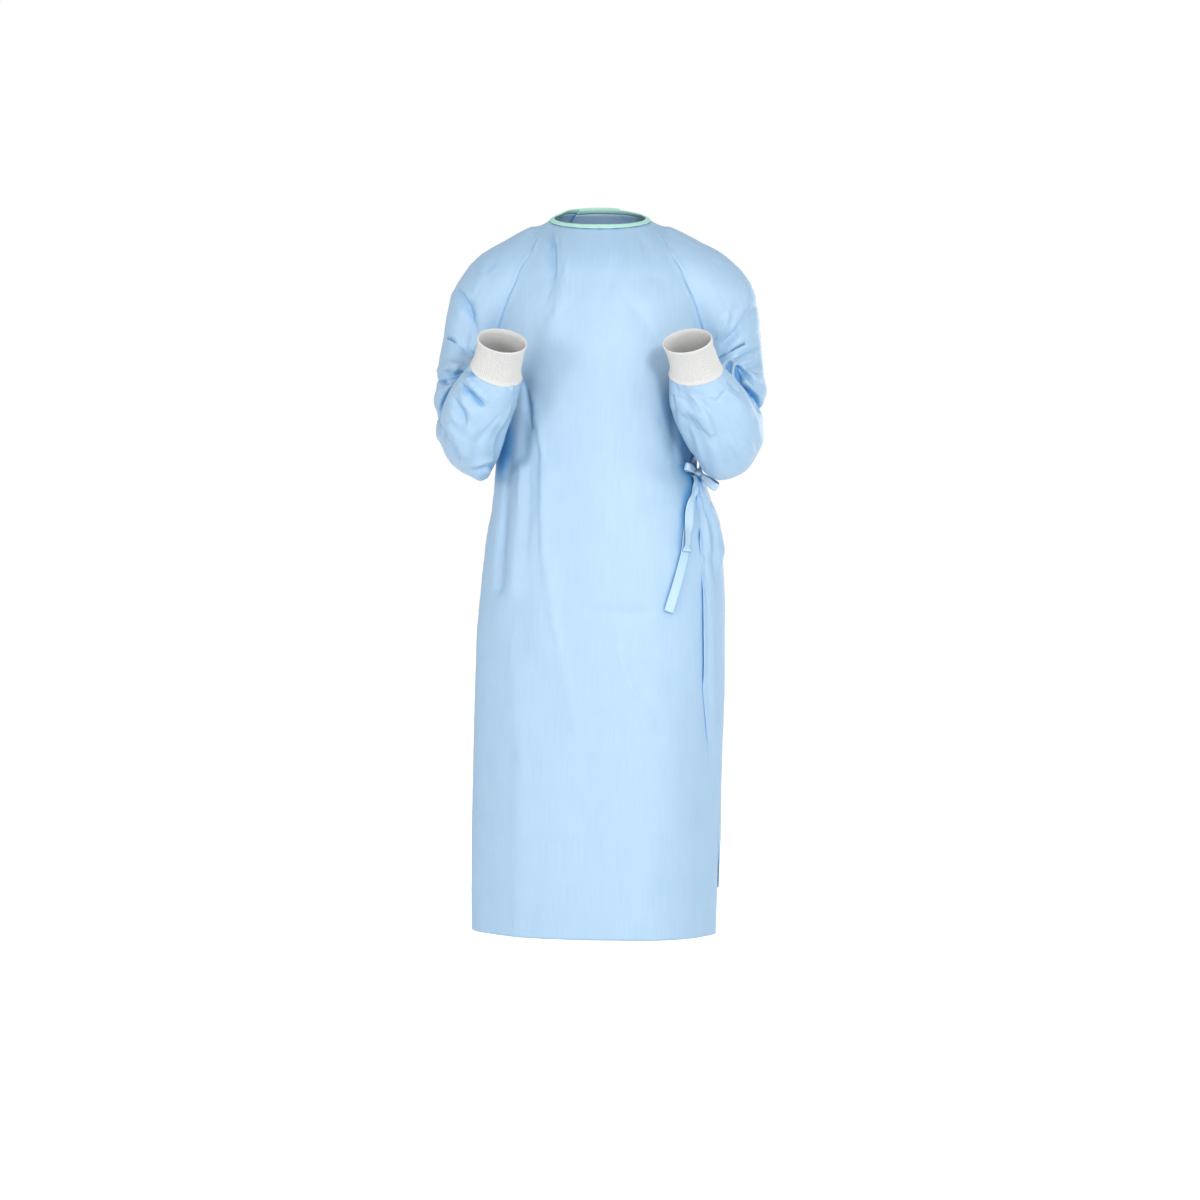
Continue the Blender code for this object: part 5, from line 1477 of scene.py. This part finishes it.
# ---------------------------------------------------------------- the camera and the light
LIGHTS = (                # name, place, size and power
    ("key", (1.3, -5.1, 0.8), 0.8, 163.0),
    ("side_light", (4.8, -2.4, 1.2), 1.6, 48.0),
    ("left_fill", (-3.6, -3.7, 0.3), 1.4, 72.0),
    ("back_key", (-0.5, 5.2, 0.5), 1.2, 75.0),
    ("back_fill", (2.6, 4.4, 0.2), 1.2, 50.0),
)
LIGHTS_AIM = (0, 0, -0.45)
FLOOR_COLOUR = (0.86, 0.86, 0.86, 1.0)
FLOOR_GLOW = 0.35
WHITE_LIGHT = (1.0, 1.0, 1.0, 1.0)
FLOOR_LEVEL = -1.556
FLOOR_REACH = 30.0
VIEW_CENTRE = (0.0, 0.0, -0.643)
VIEW_HALF_WIDTH = 1.02    # half of what the frame takes in, at the gown
VIEW_DISTANCE = 5.502


def aim(thing, target):
    thing.rotation_mode = "QUATERNION"
    thing.rotation_quaternion = (Vector(target) - thing.location).to_track_quat("-Z", "Y")


def pale_floor():
    pale = bpy.data.materials.new("pale_floor")
    pale.use_nodes = True
    inputs = pale.node_tree.nodes["Principled BSDF"].inputs
    inputs["Base Color"].default_value = FLOOR_COLOUR
    inputs["Roughness"].default_value = 0.9
    inputs["Specular IOR Level"].default_value = 0.0
    inputs["Emission Color"].default_value = WHITE_LIGHT
    inputs["Emission Strength"].default_value = FLOOR_GLOW
    return pale


def studio():
    mesh = bpy.data.meshes.new("floor")
    corners = ((-FLOOR_REACH, -FLOOR_REACH), (FLOOR_REACH, -FLOOR_REACH), (FLOOR_REACH, FLOOR_REACH),
               (-FLOOR_REACH, FLOOR_REACH))
    mesh.from_pydata([(x, y, FLOOR_LEVEL) for x, y in corners], [], [(0, 1, 2, 3)])
    mesh.materials.append(pale_floor())
    add_object("floor", mesh)

    world = bpy.data.worlds.new("studio")
    bpy.context.scene.world = world
    world.use_nodes = True
    world.node_tree.nodes["Background"].inputs["Color"].default_value = WHITE_LIGHT
    world.node_tree.nodes["Background"].inputs["Strength"].default_value = 1.0

    for name, place, size, power in LIGHTS:
        light = bpy.data.lights.new(name, "AREA")
        light.size = size
        light.energy = power
        holder = add_object(name, light)
        holder.location = place
        aim(holder, LIGHTS_AIM)
    bpy.context.scene.view_settings.view_transform = "Standard"


def camera():
    lens = bpy.data.cameras.new("view")
    lens.sensor_width = 36.0
    lens.lens = lens.sensor_width / 2 / (VIEW_HALF_WIDTH / VIEW_DISTANCE)
    eye = add_object("view", lens)
    eye.location = EYE
    aim(eye, VIEW_CENTRE)
    bpy.context.scene.camera = eye


camera()
studio()
front_panel()
back_wrap()
back_under()
for hand, word in SIDE_NAMES.items():
    sleeve(hand, "sleeve_" + word)
for hand, word in SIDE_NAMES.items():
    cuff(hand, "cuff_" + word)
binding()
neck_tab()
bow()
